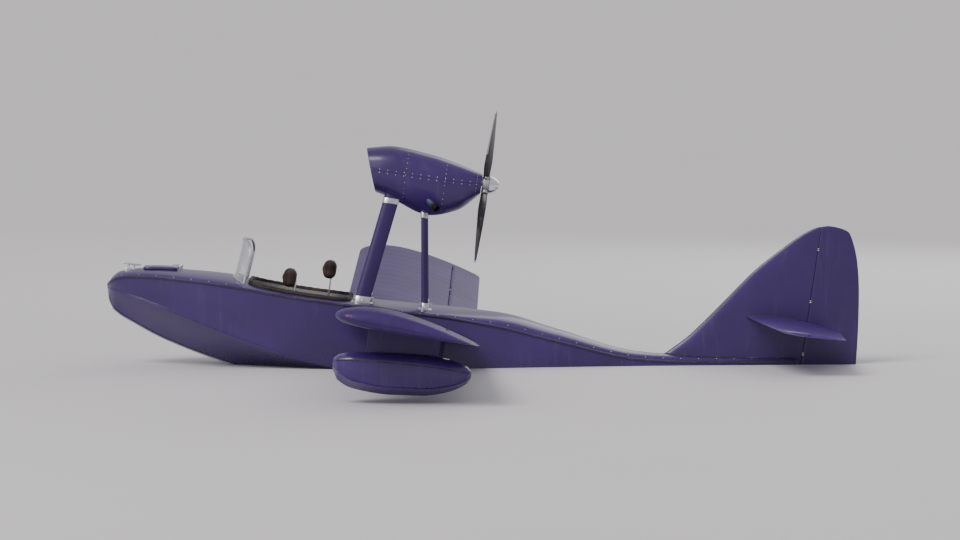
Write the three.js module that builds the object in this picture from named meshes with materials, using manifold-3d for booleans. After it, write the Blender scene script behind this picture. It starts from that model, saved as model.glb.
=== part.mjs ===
// Light open-cockpit flying boat, in millimetres, +Z up, afloat with its bow eight degrees up.
// The craft is drawn level in its own frame: x aft, y to starboard, z up, then trimmed as one group.
// The origin of both frames is the point of the hull's middle plane where the water meets the step area.
import * as THREE from 'three';
import { mergeVertices } from 'three/addons/utils/BufferGeometryUtils.js';
import Module from 'manifold-3d';

const wasm = await Module();
wasm.setup();

// Driving dimensions
const TRIM_DEG = 8;
const GAP = 0.3;
const CLEAR = 6;
const ROOM = { bow: -3200, stern: 4200, side: 900, low: -900, high: 2500 };
const HULL = { wall: 45, bottom: 60, deck: 28, lip: 16, bulge: 8 };
const RAIL = { proud: 9, root: 5, below: 12, above: 14 };
const COCKPIT = { front: -1600, back: -720, half: 400, corner: 140, legs: -2200 };
const BOARDS = { front: -1780, top: -100, thick: 22 };
const COAMING = { wide: 34, high: 30 };
const HATCH = { front: -2600, back: -2290, half: 150, corner: 50, rim: 28, thick: 22, seat: 0.5, locker: 110 };
const HATCH_ARM = { long: 66, wide: 14, deep: 18, pinHalf: 118, lugFoot: 60 };
const CLEAT = { x: -2715, long: 120, wide: 44, corner: 12, thick: 12, root: 30 };
const HORN = { half: 90, up: 46, radius: 9, post: 26, postHigh: 40 };
const SCREEN = { front: -1770, side: -1660, half: 400, foot: 560, top: 920, lean: 0.1, corner: 150, sweep: 34 };
const SCREEN_FRAME = { thick: 24, wide: 26, glass: 6 };
const PANEL = { front: -1626, thick: 20, low: 240, high: 540 };
const PEDALS = { x: -2060, z: 60, half: 320, radius: 12, places: [-165, -75, 75, 165] };
const PEDAL_PLATE = { wide: 64, thick: 16, top: 190 };
const SEAT = { half: 208, side: 236, long: 400, thick: 85, back: 480, backThick: 70, recline: 10, clear: 8 };
const HEADREST = { deep: 160, wide: 244, high: 195, corner: 50, post: 7, apart: 50, sunk: 45 };
const WING = { nose: -746, chord: 1218, rootZ: 308, dihedral: 4.1, incidence: 4.5, thick: 0.15, camber: 0.03 };
const WING_HINGE = { x: 205, flap: [700, 2440], aileron: [2540, 4180], inset: 180, pin: 7, root: 380 };
const HINGE = { arm: 60, half: 6, boss: 6, depth: 0.7, play: 0.8, proud: 8 };
const TAIL = { z: 850, half: 1450, hinge: 3370, rudder: 3450, notch: 27, inner: 60, pin: 5, lugs: [300, 1180] };
const TORQUE_TUBE = { radius: 14, hole: 15.2, past: 30 };
const NACELLE = { mouth: -674, back: 330, axis: 1705, wall: 14, rake: 19 };
const GRILLE = { slots: 6, low: 1568, pitch: 49, open: 36, half: 128, from: 30, to: 46 };
const EXHAUST = { from: [-170, 150, 1530], to: [-60, 292, 1452], radius: 30, bore: 25 };
const EXHAUST_BORE = { from: [-118, 217, 1493.5], to: [-38, 320.4, 1436.4] };
const SHAFT = { radius: 20, hole: 26 };
const PROPELLER = { radius: 800, hub: 78, front: 338, long: 62, blades: 3, spinner: 96 };
const ENGINE = { front: -470, back: 50, half: 165, low: 1530, high: 1830 };
const BEARER = { side: 95, half: 28, inset: 60, low: 1300, overlap: 20 };
const FLOAT = { front: -690, middle: -115, side: 3900, z: 44, pitch: -5 };
const PYLON = { nose: -455, tail: 150, thick: 0.13, low: 200, high: 700 };

// Colours and finishes: sRGB hex, roughness, metalness
const FINISH = {
  navy: [0x2b2a4a, 0.32, 0.1],
  navyDark: [0x23223c, 0.4, 0.1],
  cockpit: [0x6c6a66, 0.8, 0],
  fabric: [0x3a342f, 0.9, 0],
  metal: [0xb9bcc2, 0.3, 0.9],
  polished: [0xd9dade, 0.12, 1],
  dark: [0x1b1b1e, 0.5, 0.3],
  glass: [0xcfdde2, 0.05, 0],
  blade: [0x2a2622, 0.35, 0],
};

const rad = (degrees) => THREE.MathUtils.degToRad(degrees);
const upright = new THREE.Matrix4().makeRotationX(Math.PI / 2);

// Solids from closed meshes, and back

function solid(geometry) {
  const bare = geometry.clone();
  bare.deleteAttribute('normal');
  bare.deleteAttribute('uv');
  const merged = mergeVertices(bare, 1e-4);
  const source = merged.index.array;
  const triVerts = [];
  for (let i = 0; i < source.length; i += 3) {
    const [a, b, c] = [source[i], source[i + 1], source[i + 2]];
    if (a !== b && b !== c && c !== a) triVerts.push(a, b, c);
  }
  const vertProperties = Float32Array.from(merged.attributes.position.array);
  return new wasm.Manifold(new wasm.Mesh({ numProp: 3, vertProperties, triVerts: Uint32Array.from(triVerts) }));
}

function geometryOf(manifold) {
  const { vertProperties, triVerts } = manifold.getMesh();
  const geometry = new THREE.BufferGeometry();
  geometry.setAttribute('position', new THREE.BufferAttribute(Float32Array.from(vertProperties), 3));
  geometry.setIndex(new THREE.BufferAttribute(Uint32Array.from(triVerts), 1));
  return geometry;
}

function moved(manifold, matrix) {
  const geometry = geometryOf(manifold).applyMatrix4(matrix);
  if (matrix.determinant() < 0) {
    const index = geometry.index.array;
    for (let i = 0; i < index.length; i += 3) [index[i], index[i + 1]] = [index[i + 1], index[i]];
  }
  return solid(geometry);
}

const translated = (manifold, x, y, z) => moved(manifold, new THREE.Matrix4().makeTranslation(x, y, z));
const mirrored = (manifold) => moved(manifold, new THREE.Matrix4().makeScale(1, -1, 1));

function box(x0, x1, y0, y1, z0, z1) {
  const geometry = new THREE.BoxGeometry(x1 - x0, y1 - y0, z1 - z0);
  return solid(geometry.translate((x0 + x1) / 2, (y0 + y1) / 2, (z0 + z1) / 2));
}

// A round bar from one point to another, with its own radius at each end.
function bar(from, to, radius, radiusTo = radius, sides = 16) {
  const start = new THREE.Vector3(...from);
  const along = new THREE.Vector3(...to).sub(start);
  const geometry = new THREE.CylinderGeometry(radiusTo, radius, along.length(), sides);
  geometry.translate(0, along.length() / 2, 0);
  const turn = new THREE.Quaternion().setFromUnitVectors(new THREE.Vector3(0, 1, 0), along.normalize());
  return solid(geometry.applyQuaternion(turn).translate(start.x, start.y, start.z));
}

// A skin through rings of equally many points, closed at both ends; flat(point) gives an end's outline in 2-D.
// A ring that starts on its mirror line is cut into triangles alike on both sides of that line.
function loft(rings, flat) {
  const count = rings[0].length;
  const points = rings.flat();
  const index = [];
  for (let r = 0; r + 1 < rings.length; r += 1) {
    for (let i = 0; i < count; i += 1) {
      const j = (i + 1) % count;
      const [a, b, c, d] = [r * count + i, r * count + j, (r + 1) * count + i, (r + 1) * count + j];
      index.push(...(i < count / 2 ? [a, b, d, a, d, c] : [a, b, c, b, d, c]));
    }
  }
  const ends = [[0, true], [rings.length - 1, false]];
  for (const [r, first] of ends) {
    const outline = rings[r].map((point) => new THREE.Vector2(...flat(point)));
    const turned = THREE.ShapeUtils.isClockWise(outline);
    for (const [a, b, c] of THREE.ShapeUtils.triangulateShape(outline, [])) {
      const face = [r * count + a, r * count + b, r * count + c];
      index.push(...(first !== turned ? [face[0], face[2], face[1]] : face));
    }
  }
  const geometry = new THREE.BufferGeometry();
  geometry.setAttribute('position', new THREE.Float32BufferAttribute(points.flat(), 3));
  geometry.setIndex(index);
  return outward(geometry);
}

// Turns every face of a closed skin round when the skin encloses a negative volume.
function outward(geometry) {
  const place = geometry.attributes.position;
  const index = geometry.index.array;
  const [a, b, c] = [new THREE.Vector3(), new THREE.Vector3(), new THREE.Vector3()];
  let volume = 0;
  for (let i = 0; i < index.length; i += 3) {
    a.fromBufferAttribute(place, index[i]);
    b.fromBufferAttribute(place, index[i + 1]);
    c.fromBufferAttribute(place, index[i + 2]);
    volume += a.dot(b.cross(c));
  }
  if (volume < 0) {
    for (let i = 0; i < index.length; i += 3) [index[i], index[i + 1]] = [index[i + 1], index[i]];
  }
  return solid(geometry);
}

// An outline in 2-D, carried straight from one height to the next along z.
function prism(outline, z0, z1) {
  const shape = new THREE.Shape(outline.map(([x, y]) => new THREE.Vector2(x, y)));
  const geometry = new THREE.ExtrudeGeometry(shape, { depth: z1 - z0, bevelEnabled: false });
  return solid(indexed(geometry.translate(0, 0, z0)));
}

function indexed(geometry) {
  geometry.deleteAttribute('normal');
  geometry.deleteAttribute('uv');
  return mergeVertices(geometry, 1e-4);
}

// A rectangle with round corners, as a list of points.
function roundBox(x0, x1, y0, y1, radius, steps = 5) {
  const points = [];
  const centres = [[x1 - radius, y1 - radius, 0], [x0 + radius, y1 - radius, 90],
    [x0 + radius, y0 + radius, 180], [x1 - radius, y0 + radius, 270]];
  for (const [cx, cy, start] of centres) {
    for (let i = 0; i <= steps; i += 1) {
      const angle = rad(start + (90 * i) / steps);
      points.push([cx + radius * Math.cos(angle), cy + radius * Math.sin(angle)]);
    }
  }
  return points;
}

// Moves each corner of a closed 2-D outline outward by a distance, outlines running either way round.
function grown(outline, distance) {
  if (distance === 0) return outline;
  const side = THREE.ShapeUtils.isClockWise(outline.map(([x, y]) => new THREE.Vector2(x, y))) ? -1 : 1;
  const count = outline.length;
  const normal = (i) => {
    const [a, b] = [outline[i % count], outline[(i + 1) % count]];
    const length = Math.hypot(b[0] - a[0], b[1] - a[1]) || 1;
    return [(side * (b[1] - a[1])) / length, (side * (a[0] - b[0])) / length];
  };
  return outline.map(([x, y], i) => {
    const [before, after] = [normal(i + count - 1), normal(i)];
    const sum = [before[0] + after[0], before[1] + after[1]];
    const reach = (2 * distance) / Math.max(0.5, sum[0] ** 2 + sum[1] ** 2);
    return [x + sum[0] * reach, y + sum[1] * reach];
  });
}

// A smooth value between the rows of a table: each column is eased by a cubic with limited slopes.
function sample(table, column, at) {
  const xs = table.map((row) => row[0]);
  const ys = table.map((row) => row[column]);
  const last = xs.length - 1;
  if (at <= xs[0]) return ys[0];
  if (at >= xs[last]) return ys[last];
  const k = xs.findIndex((x, i) => at < xs[i + 1]);
  const rise = (i) => (ys[i + 1] - ys[i]) / (xs[i + 1] - xs[i]);
  const slope = (i) => {
    if (i === 0) return rise(0);
    if (i === last) return rise(last - 1);
    const [left, right] = [rise(i - 1), rise(i)];
    return left * right <= 0 ? 0 : (2 * left * right) / (left + right);
  };
  const width = xs[k + 1] - xs[k];
  const t = (at - xs[k]) / width;
  const [a, b] = [t * t * (3 - 2 * t), t * (1 - t) * (1 - t)];
  return ys[k] + (ys[k + 1] - ys[k]) * a + width * (slope(k) * b - slope(k + 1) * t * t * (1 - t));
}

// Hull

// The step is where the bottom's forward part ends and the shallower part behind it begins.
const STEP = 200;

// Columns: x, keel z, chine half-beam, chine z, gunwale half-beam, gunwale z, deck crown z
const FOREBODY = [
  [-2900, 292, 10, 312, 12, 326, 334],
  [-2875, 196, 80, 300, 90, 362, 398],
  [-2809, 108, 165, 292, 186, 412, 464],
  [-2600, 12, 292, 262, 318, 462, 522],
  [-2333, -86, 392, 208, 412, 485, 552],
  [-1835, -206, 490, 90, 500, 498, 574],
  [-1545, -255, 520, 26, 520, 492, 540],
  [-1090, -296, 545, -52, 530, 478, 516],
  [-358, -326, 555, -124, 512, 482, 530],
  [STEP, -337, 550, -158, 455, 486, 558],
];
const AFTERBODY = [
  [STEP, -257, 520, -88, 455, 486, 558],
  [653, -171, 446, -8, 370, 462, 571],
  [1202, -66, 336, 78, 270, 398, 495],
  [1922, 71, 212, 166, 165, 330, 396],
  [2600, 200, 128, 262, 104, 392, 452],
  [3400, 353, 56, 400, 46, 505, 562],
];
const FORE_STATIONS = [-2900, -2890, -2875, -2850, -2809, -2740, -2600, -2470, -2333, -2090, -1835, -1690,
  -1545, -1300, -1090, -720, -358, 200];
const AFT_STATIONS = [180, 420, 653, 920, 1202, 1560, 1922, 2260, 2600, 3000, 3400];

// Half a cross-section, keel to crown: flat V bottom, chine lip, side bowed out a little, then a quarter
// ellipse over the deck. An inset section lies inside by the wall, the bottom and the deck and by the inset.
function hullHalf(table, x, inset = 0) {
  const [keel, chineY, chineZ, gunY, gunZ, crown] = [1, 2, 3, 4, 5, 6].map((k) => sample(table, k, x));
  const lip = inset ? 0 : Math.min(HULL.lip, chineY * 0.12);
  const wall = inset ? HULL.wall + inset : 0;
  const sole = inset ? HULL.bottom + inset : 0;
  const roof = inset ? HULL.deck + inset : 0;
  const half = [[0, keel + sole], [chineY - wall, chineZ + sole * 0.5]];
  if (!inset) half.push([chineY - lip, chineZ + lip * 0.8]);
  const sideY = (chineY + gunY) / 2 - lip * 0.4 + HULL.bulge;
  half.push([sideY - wall, (chineZ + gunZ) / 2]);
  for (let i = 0; i <= 4; i += 1) {
    const angle = rad(22.5 * i);
    const rise = (crown - roof * 0.6 - gunZ) * Math.sin(angle);
    half.push([(gunY - wall) * Math.cos(angle), gunZ - roof * 0.4 + rise]);
  }
  half[half.length - 1][0] = 0;
  return half;
}

function hullRing(table, x, grow = 0, inset = 0) {
  const half = hullHalf(table, x, inset);
  const other = half.slice(1, -1).reverse().map(([y, z]) => [-y, z]);
  return grown([...half, ...other], grow).map(([y, z]) => [x, y, z]);
}

function hullBody(table, stations, grow = 0, inset = 0) {
  const rings = stations.map((x) => hullRing(table, x, grow, inset));
  rings[0] = rings[0].map(([x, y, z]) => [x - grow, y, z]);
  rings[rings.length - 1] = rings[rings.length - 1].map(([x, y, z]) => [x + grow, y, z]);
  return loft(rings, ([, y, z]) => [y, z]);
}

const hullSkin = (grow) => hullBody(FOREBODY, FORE_STATIONS, grow).add(hullBody(AFTERBODY, AFT_STATIONS, grow));
const INNER_STATIONS = [-2700, -2600, -2470, -2333, -2090, -1835, -1690, -1545, -1300, -1090, -720, -500];
const hullInside = (inset) => hullBody(FOREBODY, INNER_STATIONS, 0, inset);

// All that lies above the gunwale line, raised by an offset: the deck's share of the hull.
function aboveGunwale(offset) {
  const { bow, stern, side, high } = ROOM;
  const stations = [bow, ...FORE_STATIONS, ...AFT_STATIONS.slice(1), stern];
  const rings = stations.map((x) => {
    const low = sample(x <= STEP ? FOREBODY : AFTERBODY, 5, x) + offset;
    return [[x, -side, low], [x, side, low], [x, side, high], [x, -side, high]];
  });
  return loft(rings, ([, y, z]) => [y, z]);
}

// The rub rail round the gunwale, grown by a gap on every side for cutting its neighbours.
function railBand(gap) {
  const band = aboveGunwale(-RAIL.below - gap).subtract(aboveGunwale(RAIL.above + gap));
  return hullSkin(RAIL.proud + gap).intersect(band);
}

const hullOuter = hullSkin(0);
const hullBare = hullSkin(GAP);
const hullClear = hullBare.add(railBand(GAP));
const insideWall = hullInside(0.01);
const insideClear = hullInside(GAP);
const cockpitOutline = roundBox(COCKPIT.front, COCKPIT.back, -COCKPIT.half, COCKPIT.half, COCKPIT.corner);
const hatchOutline = roundBox(HATCH.front, HATCH.back, -HATCH.half, HATCH.half, HATCH.corner, 3);

const deckAt = (x) => sample(FOREBODY, 6, x);
const DECK_BAND = [300, 900];

// The whole room between two places along x, above a height.
const lengthOf = (from, to, low = ROOM.low) => box(from, to, -ROOM.side, ROOM.side, low, ROOM.high);

const HATCH_LUG = { thick: 14, boss: 14, places: [-90, 90] };
const HATCH_HINGE = { x: HATCH.back + 22, z: deckAt(HATCH.back) + 32, pin: 5 };

// The hull's two mouldings: the lower one up to the gunwale, and the deck with the rub rail and hatch lugs.
function hullPieces() {
  const cabin = insideWall.intersect(lengthOf(COCKPIT.legs, COCKPIT.back));
  const locker = insideWall.intersect(lengthOf(HATCH.front, HATCH.back, HATCH.locker));
  const lockerMouth = prism(grown(hatchOutline, -HATCH.rim), ...DECK_BAND);
  const whole = hullOuter.subtract(cabin).subtract(prism(cockpitOutline, ...DECK_BAND))
    .subtract(locker).subtract(lockerMouth);
  const lower = whole.subtract(aboveGunwale(-GAP));
  const below = hullBare.subtract(aboveGunwale(0));
  const rail = railBand(0).subtract(below).subtract(hullSkin(-RAIL.root));
  let deck = whole.intersect(aboveGunwale(0)).add(rail);
  const { x, z, pin } = HATCH_HINGE;
  const { thick, boss, places } = HATCH_LUG;
  for (const y of places) {
    const plate = box(x - boss, x + boss, y - thick / 2, y + thick / 2, z - HATCH_ARM.lugFoot, z)
      .add(bar([x, y - thick / 2, z], [x, y + thick / 2, z], boss));
    deck = deck.add(plate.subtract(bar([x, y - thick, z], [x, y + thick, z], pin + HINGE.play)));
  }
  return { lower, deck };
}

// Columns: name, x of the section's front, x of its back; the sections meet at the cockpit's bulkheads
const HULL_SECTIONS = [
  ['bow', ROOM.bow, COCKPIT.legs],
  ['middle', COCKPIT.legs, COCKPIT.back],
  ['stern', COCKPIT.back, ROOM.stern],
];

// The lid, its hinge pin and the two arms that reach the pin outside the deck's lugs.
function hatchLid() {
  const { x, z, pin } = HATCH_HINGE;
  const { long, wide, deep, pinHalf } = HATCH_ARM;
  let lid = hullSkin(HATCH.thick).intersect(prism(hatchOutline, ...DECK_BAND)).subtract(hullSkin(HATCH.seat));
  lid = lid.add(bar([x, -pinHalf, z], [x, pinHalf, z], pin, pin, 12));
  for (const y of HATCH_LUG.places) {
    const side = Math.sign(y) * (Math.abs(y) + HATCH_LUG.thick / 2 + CLEAR);
    const [y0, y1] = [side, side + Math.sign(y) * wide].sort((a, b) => a - b);
    lid = lid.add(box(x - long, x + pin, y0, y1, z - deep, z + pin));
  }
  return lid;
}

// The raised ring round the cockpit's opening.
function coamingRing() {
  const raised = hullSkin(COAMING.high).subtract(hullBare);
  const ring = prism(grown(cockpitOutline, COAMING.wide), ...DECK_BAND);
  return raised.intersect(ring).subtract(prism(cockpitOutline, ROOM.low, ROOM.high));
}

// Cockpit

function floorBoards() {
  const { front, top, thick } = BOARDS;
  return insideClear.intersect(box(front, COCKPIT.back - GAP, -ROOM.side, ROOM.side, top - thick, top));
}

// An L-shaped seat in side view: cushion, then the back leaning aft, trimmed to the inside of the hull.
function seatSolid(side, x) {
  const { half, long, thick, back, backThick, recline } = SEAT;
  const base = BOARDS.top + GAP;
  const lean = Math.tan(rad(recline));
  const profile = [[x - long, base], [x + backThick, base], [x + backThick + back * lean, base + back + thick],
    [x + back * lean, base + back + thick], [x, base + thick], [x - long, base + thick]];
  const shape = translated(moved(prism(profile, 0, 2 * half), upright), 0, side * SEAT.side + half, 0);
  return shape.intersect(hullInside(SEAT.clear));
}

// Columns: name, side (port -1, starboard 1), x of the seat's bend, z of the headrest's top, its lean ahead
const SEATS = [
  ['left', -1, -1330, 735, 58],
  ['right', 1, -1030, 827, 20],
];

function headrest(side, x, top, ahead) {
  const { deep, wide, high, corner, post, apart, sunk } = HEADREST;
  const backTop = BOARDS.top + GAP + SEAT.back + SEAT.thick;
  const lean = Math.tan(rad(SEAT.recline));
  const cx = x + SEAT.back * lean + SEAT.backThick / 2;
  const pad = prism(roundBox(-deep / 2, deep / 2, -wide / 2, wide / 2, corner, 4), top - high, top);
  let rest = translated(pad, cx - ahead, side * SEAT.side, 0);
  for (const y of [-apart, apart]) {
    const at = side * SEAT.side + y;
    rest = rest.add(bar([cx, at, backTop + GAP], [cx, at, top - high + sunk], post, post, 10));
  }
  return rest;
}

// Columns: x and height over the floor of the lower end, the same of the upper end, their radii, sides
const STICK_BARS = [
  [-1560, 0, -1560, 40, 25, 20, 12],
  [-1560, 20, -1520, 330, 11, 10, 10],
  [-1520, 320, -1506, 430, 17, 15, 12],
];

function controlStick() {
  const base = BOARDS.top + GAP;
  return STICK_BARS.map(([x0, up0, x1, up1, ...size]) => bar([x0, 0, base + up0], [x1, 0, base + up1], ...size))
    .reduce((whole, next) => whole.add(next));
}

function pedals() {
  const { x, z, half, radius, places } = PEDALS;
  const { wide, thick, top } = PEDAL_PLATE;
  let bars = bar([x, -half, z], [x, half, z], radius, radius, 10).intersect(insideClear);
  for (const y of places) {
    bars = bars.add(box(x - thick / 2, x + thick / 2, y - wide / 2, y + wide / 2, z, top));
  }
  return bars;
}

function instrumentPanel() {
  const { front, thick, low, high } = PANEL;
  return insideClear.intersect(box(front, front + thick, -ROOM.side, ROOM.side, low, high));
}

// Windscreen: a band of a cylinder in plan, leaning aft, with an arched outline seen from the front.

const screenBulge = SCREEN.side - SCREEN.front;
const screenRadius = (SCREEN.half ** 2 + screenBulge ** 2) / (2 * screenBulge);
const screenCentre = SCREEN.front + screenRadius;

function screenBand(inner, outer) {
  const { sweep, lean, foot, top } = SCREEN;
  const arc = (radius) => Array.from({ length: 17 }, (_, i) => {
    const angle = rad(180 - sweep + (2 * sweep * i) / 16);
    return [screenCentre + radius * Math.cos(angle), radius * Math.sin(angle)];
  });
  const band = prism([...arc(outer), ...arc(inner).reverse()], DECK_BAND[0], top + 180);
  const shear = new THREE.Matrix4().set(1, 0, lean, -lean * foot, 0, 1, 0, 0, 0, 0, 1, 0, 0, 0, 0, 1);
  return moved(band, shear);
}

// The arch seen from the front, shrunk by an inset, as a solid running through along x.
function screenArch(inset) {
  const half = SCREEN.half - inset;
  const top = SCREEN.top - inset;
  const corner = SCREEN.corner - inset;
  const low = 200;
  const outline = roundBox(-half, half, low, top, corner, 6).filter(([, z]) => z > low + corner);
  const turn = new THREE.Matrix4().set(0, 0, 1, 0, 1, 0, 0, 0, 0, 1, 0, 0, 0, 0, 0, 1);
  return moved(prism([...outline, [-half, low], [half, low]], ROOM.bow, 0), turn);
}

function windscreenFrame() {
  const r = screenRadius;
  const ring = screenArch(0).subtract(screenArch(SCREEN_FRAME.wide));
  return screenBand(r - SCREEN_FRAME.thick / 2, r + SCREEN_FRAME.thick / 2).intersect(ring).subtract(hullClear);
}

function windscreenGlass() {
  const r = screenRadius;
  const pane = screenBand(r - SCREEN_FRAME.glass / 2, r + SCREEN_FRAME.glass / 2);
  return pane.intersect(screenArch(SCREEN_FRAME.wide + GAP)).subtract(hullClear);
}

// Lifting surfaces: span along y, chord along x, thickness along z, in a frame of their own

const foilHalf = (t) => 1.4845 * Math.sqrt(t) - 0.63 * t - 1.758 * t ** 2 + 1.4215 * t ** 3 - 0.518 * t ** 4;
const camberLine = (t) => (t < 0.4 ? (0.8 * t - t * t) / 0.16 : (0.2 + 0.8 * t - t * t) / 0.36);
const EDGE = 2;

// One closed section: upper side from trailing to leading edge, then the lower side back.
function foilRing({ y, nose, tail, thick, camber = 0 }, grow, steps) {
  const chord = tail - nose;
  const upper = [];
  const lower = [];
  for (let i = 0; i <= steps; i += 1) {
    const t = (1 - Math.cos((Math.PI * i) / steps)) / 2;
    const half = thick * foilHalf(t) * chord + EDGE * t;
    const middle = camber * camberLine(t) * chord;
    upper.unshift([nose + t * chord, middle + half]);
    if (i > 0) lower.push([nose + t * chord, middle - half]);
  }
  return grown([...upper, ...lower], grow).map(([x, z]) => [x, y, z]);
}

function surface(sections, grow = 0, steps = 8) {
  return loft(sections.map((section) => foilRing(section, grow, steps)), ([x, , z]) => [x, z]);
}

// The round nose of a hinged surface: circles about the hinge axis, one for each row of y and radius.
function roundNose({ x, z, nose }, extra) {
  const sides = 16;
  const rows = nose.map(([y, radius]) => [y, radius]);
  rows[0][0] -= extra;
  rows[rows.length - 1][0] += extra;
  return loft(rows.map(([y, radius]) => Array.from({ length: sides }, (_, k) => {
    const angle = rad((360 * k) / sides);
    return [x + (radius + extra) * Math.cos(angle), y, z + (radius + extra) * Math.sin(angle)];
  })), ([px, , pz]) => [px, pz]);
}

// Parts a surface at a hinge line: the moving piece gets a round nose on the hinge axis, the fixed one a cove.
// nose is a table of y and radius along the hinge; lugs are the places of the hinge brackets along y.
function parted(whole, hinge) {
  const { x, z, nose, lugs, pin } = hinge;
  const { arm, half, depth, play, proud } = HINGE;
  const [from, to] = [nose[0][0], nose[nose.length - 1][0]];
  const behind = (extra) => box(x, x + ROOM.side, from - extra, to + extra, z - ROOM.side, z + ROOM.side);
  const across = (y, reach, radius) => bar([x, y - reach, z], [x, y + reach, z], radius, radius, 10);
  const boss = pin + HINGE.boss;
  const slot = half + CLEAR;
  let fixed = whole.subtract(behind(CLEAR)).subtract(roundNose(hinge, CLEAR));
  let moving = whole.intersect(behind(0)).add(roundNose(hinge, 0));
  for (const y of lugs) {
    moving = moving.subtract(box(x - 80, x, y - slot, y + slot, z - 80, z + 80))
      .subtract(across(y, slot, boss + CLEAR)).add(across(y, slot + proud, pin));
    const plate = box(x - arm, x, y - half, y + half, z - boss * depth, z + boss * depth);
    fixed = fixed.add(plate.add(across(y, half, boss)).subtract(across(y, half + proud, pin + play)));
  }
  return { fixed, moving };
}

// Wing

// Columns: y, chord share, thickness share
const WING_STATIONS = [
  [0, 1, 1],
  [4280, 1, 1],
  [4400, 0.97, 0.9],
  [4470, 0.9, 0.7],
  [4500, 0.8, 0.42],
  [4510, 0.7, 0.2],
];
const wingSections = WING_STATIONS.map(([y, chord, thick]) => ({
  y,
  nose: WING.nose + WING.chord * (1 - chord) * 0.55,
  tail: WING.nose + WING.chord * (1 - (1 - chord) * 0.45),
  thick: (WING.thick * thick) / chord,
  camber: WING.camber,
}));
const wingPlace = new THREE.Matrix4().makeTranslation(0, 0, WING.rootZ)
  .multiply(new THREE.Matrix4().makeRotationX(rad(WING.dihedral)))
  .multiply(new THREE.Matrix4().makeRotationY(rad(WING.incidence)));

const hingeShare = (WING_HINGE.x - WING.nose) / WING.chord;
const wingHingeZ = WING.camber * camberLine(hingeShare) * WING.chord;
const wingHingeR = WING.thick * foilHalf(hingeShare) * WING.chord;

function wingHinge([from, to]) {
  const nose = [[from, wingHingeR], [to, wingHingeR]];
  const { x, inset, pin } = WING_HINGE;
  return { x, z: wingHingeZ, nose, lugs: [from + inset, to - inset], pin };
}

function wingPieces() {
  const outboard = box(ROOM.bow, ROOM.stern, WING_HINGE.root, 6000, ROOM.low, ROOM.high);
  const flapped = parted(surface(wingSections, 0, 10), wingHinge(WING_HINGE.flap));
  const outer = parted(flapped.fixed, wingHinge(WING_HINGE.aileron));
  return {
    wing: moved(outer.fixed, wingPlace).subtract(hullClear).intersect(outboard),
    flap: moved(flapped.moving, wingPlace),
    aileron: moved(outer.moving, wingPlace),
  };
}

// Tip float, its pylon reaching the wing's lower skin

// Columns as for the hull
const FLOAT_TABLE = [
  [0, 190, 36, 222, 40, 262, 290],
  [40, 110, 84, 186, 92, 280, 322],
  [180, 42, 128, 116, 134, 290, 352],
  [480, 8, 142, 76, 146, 285, 366],
  [760, 14, 134, 78, 138, 270, 356],
  [980, 60, 104, 112, 106, 248, 322],
  [1110, 130, 60, 162, 62, 226, 276],
  [1150, 180, 18, 196, 20, 214, 236],
];
const FLOAT_STATIONS = [0, 14, 40, 95, 180, 320, 480, 620, 760, 880, 980, 1060, 1110, 1150];

// The float sits level with the water when the craft is trimmed, so it is pitched against the wing.
function floatBody(grow) {
  const level = translated(hullBody(FLOAT_TABLE, FLOAT_STATIONS, grow), FLOAT.front - FLOAT.middle, 0, 0);
  const place = new THREE.Matrix4().makeTranslation(FLOAT.middle, FLOAT.side, FLOAT.z)
    .multiply(new THREE.Matrix4().makeRotationY(rad(FLOAT.pitch)));
  return moved(level, place);
}

function floatPylon() {
  const { nose, tail, thick, low, high } = PYLON;
  const whole = surface([FLOAT.z + low, FLOAT.z + high].map((y) => ({ y, nose, tail, thick })));
  const wingClear = moved(surface(wingSections, GAP, 10), wingPlace);
  const above = moved(box(ROOM.bow, ROOM.stern, 3000, 4500, 0, ROOM.side), wingPlace);
  return translated(moved(whole, upright), 0, FLOAT.side, 0)
    .subtract(wingClear).subtract(above).subtract(floatBody(GAP));
}

// Engine nacelle: egg-shaped sections carried along x, with a raked open mouth

// Columns: x, top z, bottom z, half-width
const NACELLE_TABLE = [
  [-800, 1868, 1556, 168],
  [-700, 1896, 1520, 206],
  [-485, 1934, 1470, 238],
  [-120, 1900, 1358, 250],
  [149, 1845, 1440, 196],
  [330, 1795, 1612, 92],
];
const NACELLE_STATIONS = [-800, -700, -590, -485, -360, -240, -120, 20, 149, 240, 330];

function nacelleBody(grow) {
  const rings = NACELLE_STATIONS.map((x, i) => {
    const [top, low, half] = [1, 2, 3].map((column) => sample(NACELLE_TABLE, column, x));
    const [middle, tall] = [(top + low) / 2, (top - low) / 2 + grow];
    const ends = [grow > 0 ? -grow : 0, grow > 0 ? grow : 0];
    const at = x + (i === 0 ? ends[0] : 0) + (i === NACELLE_STATIONS.length - 1 ? ends[1] : 0);
    const ring = [];
    for (let k = 0; k < 20; k += 1) {
      const angle = rad(18 * k - 90);
      const [c, s] = [Math.cos(angle), Math.sin(angle)];
      const round = (value) => Math.sign(value) * Math.abs(value) ** 0.86;
      ring.push([at, (half + grow) * round(c), middle + tall * round(s)]);
    }
    return ring;
  });
  return loft(rings, ([, y, z]) => [y, z]);
}

// Everything ahead of the raked mouth plane, moved aft by an offset.
function aheadOfMouth(offset) {
  const { side } = ROOM;
  const block = box(-side, 0, -side, side, -side, side);
  const rake = new THREE.Matrix4().makeTranslation(NACELLE.mouth + offset, 0, NACELLE.axis)
    .multiply(new THREE.Matrix4().makeRotationY(rad(-NACELLE.rake)));
  return moved(block, rake);
}

const nacelleClear = nacelleBody(GAP).subtract(aheadOfMouth(-GAP));

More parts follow.
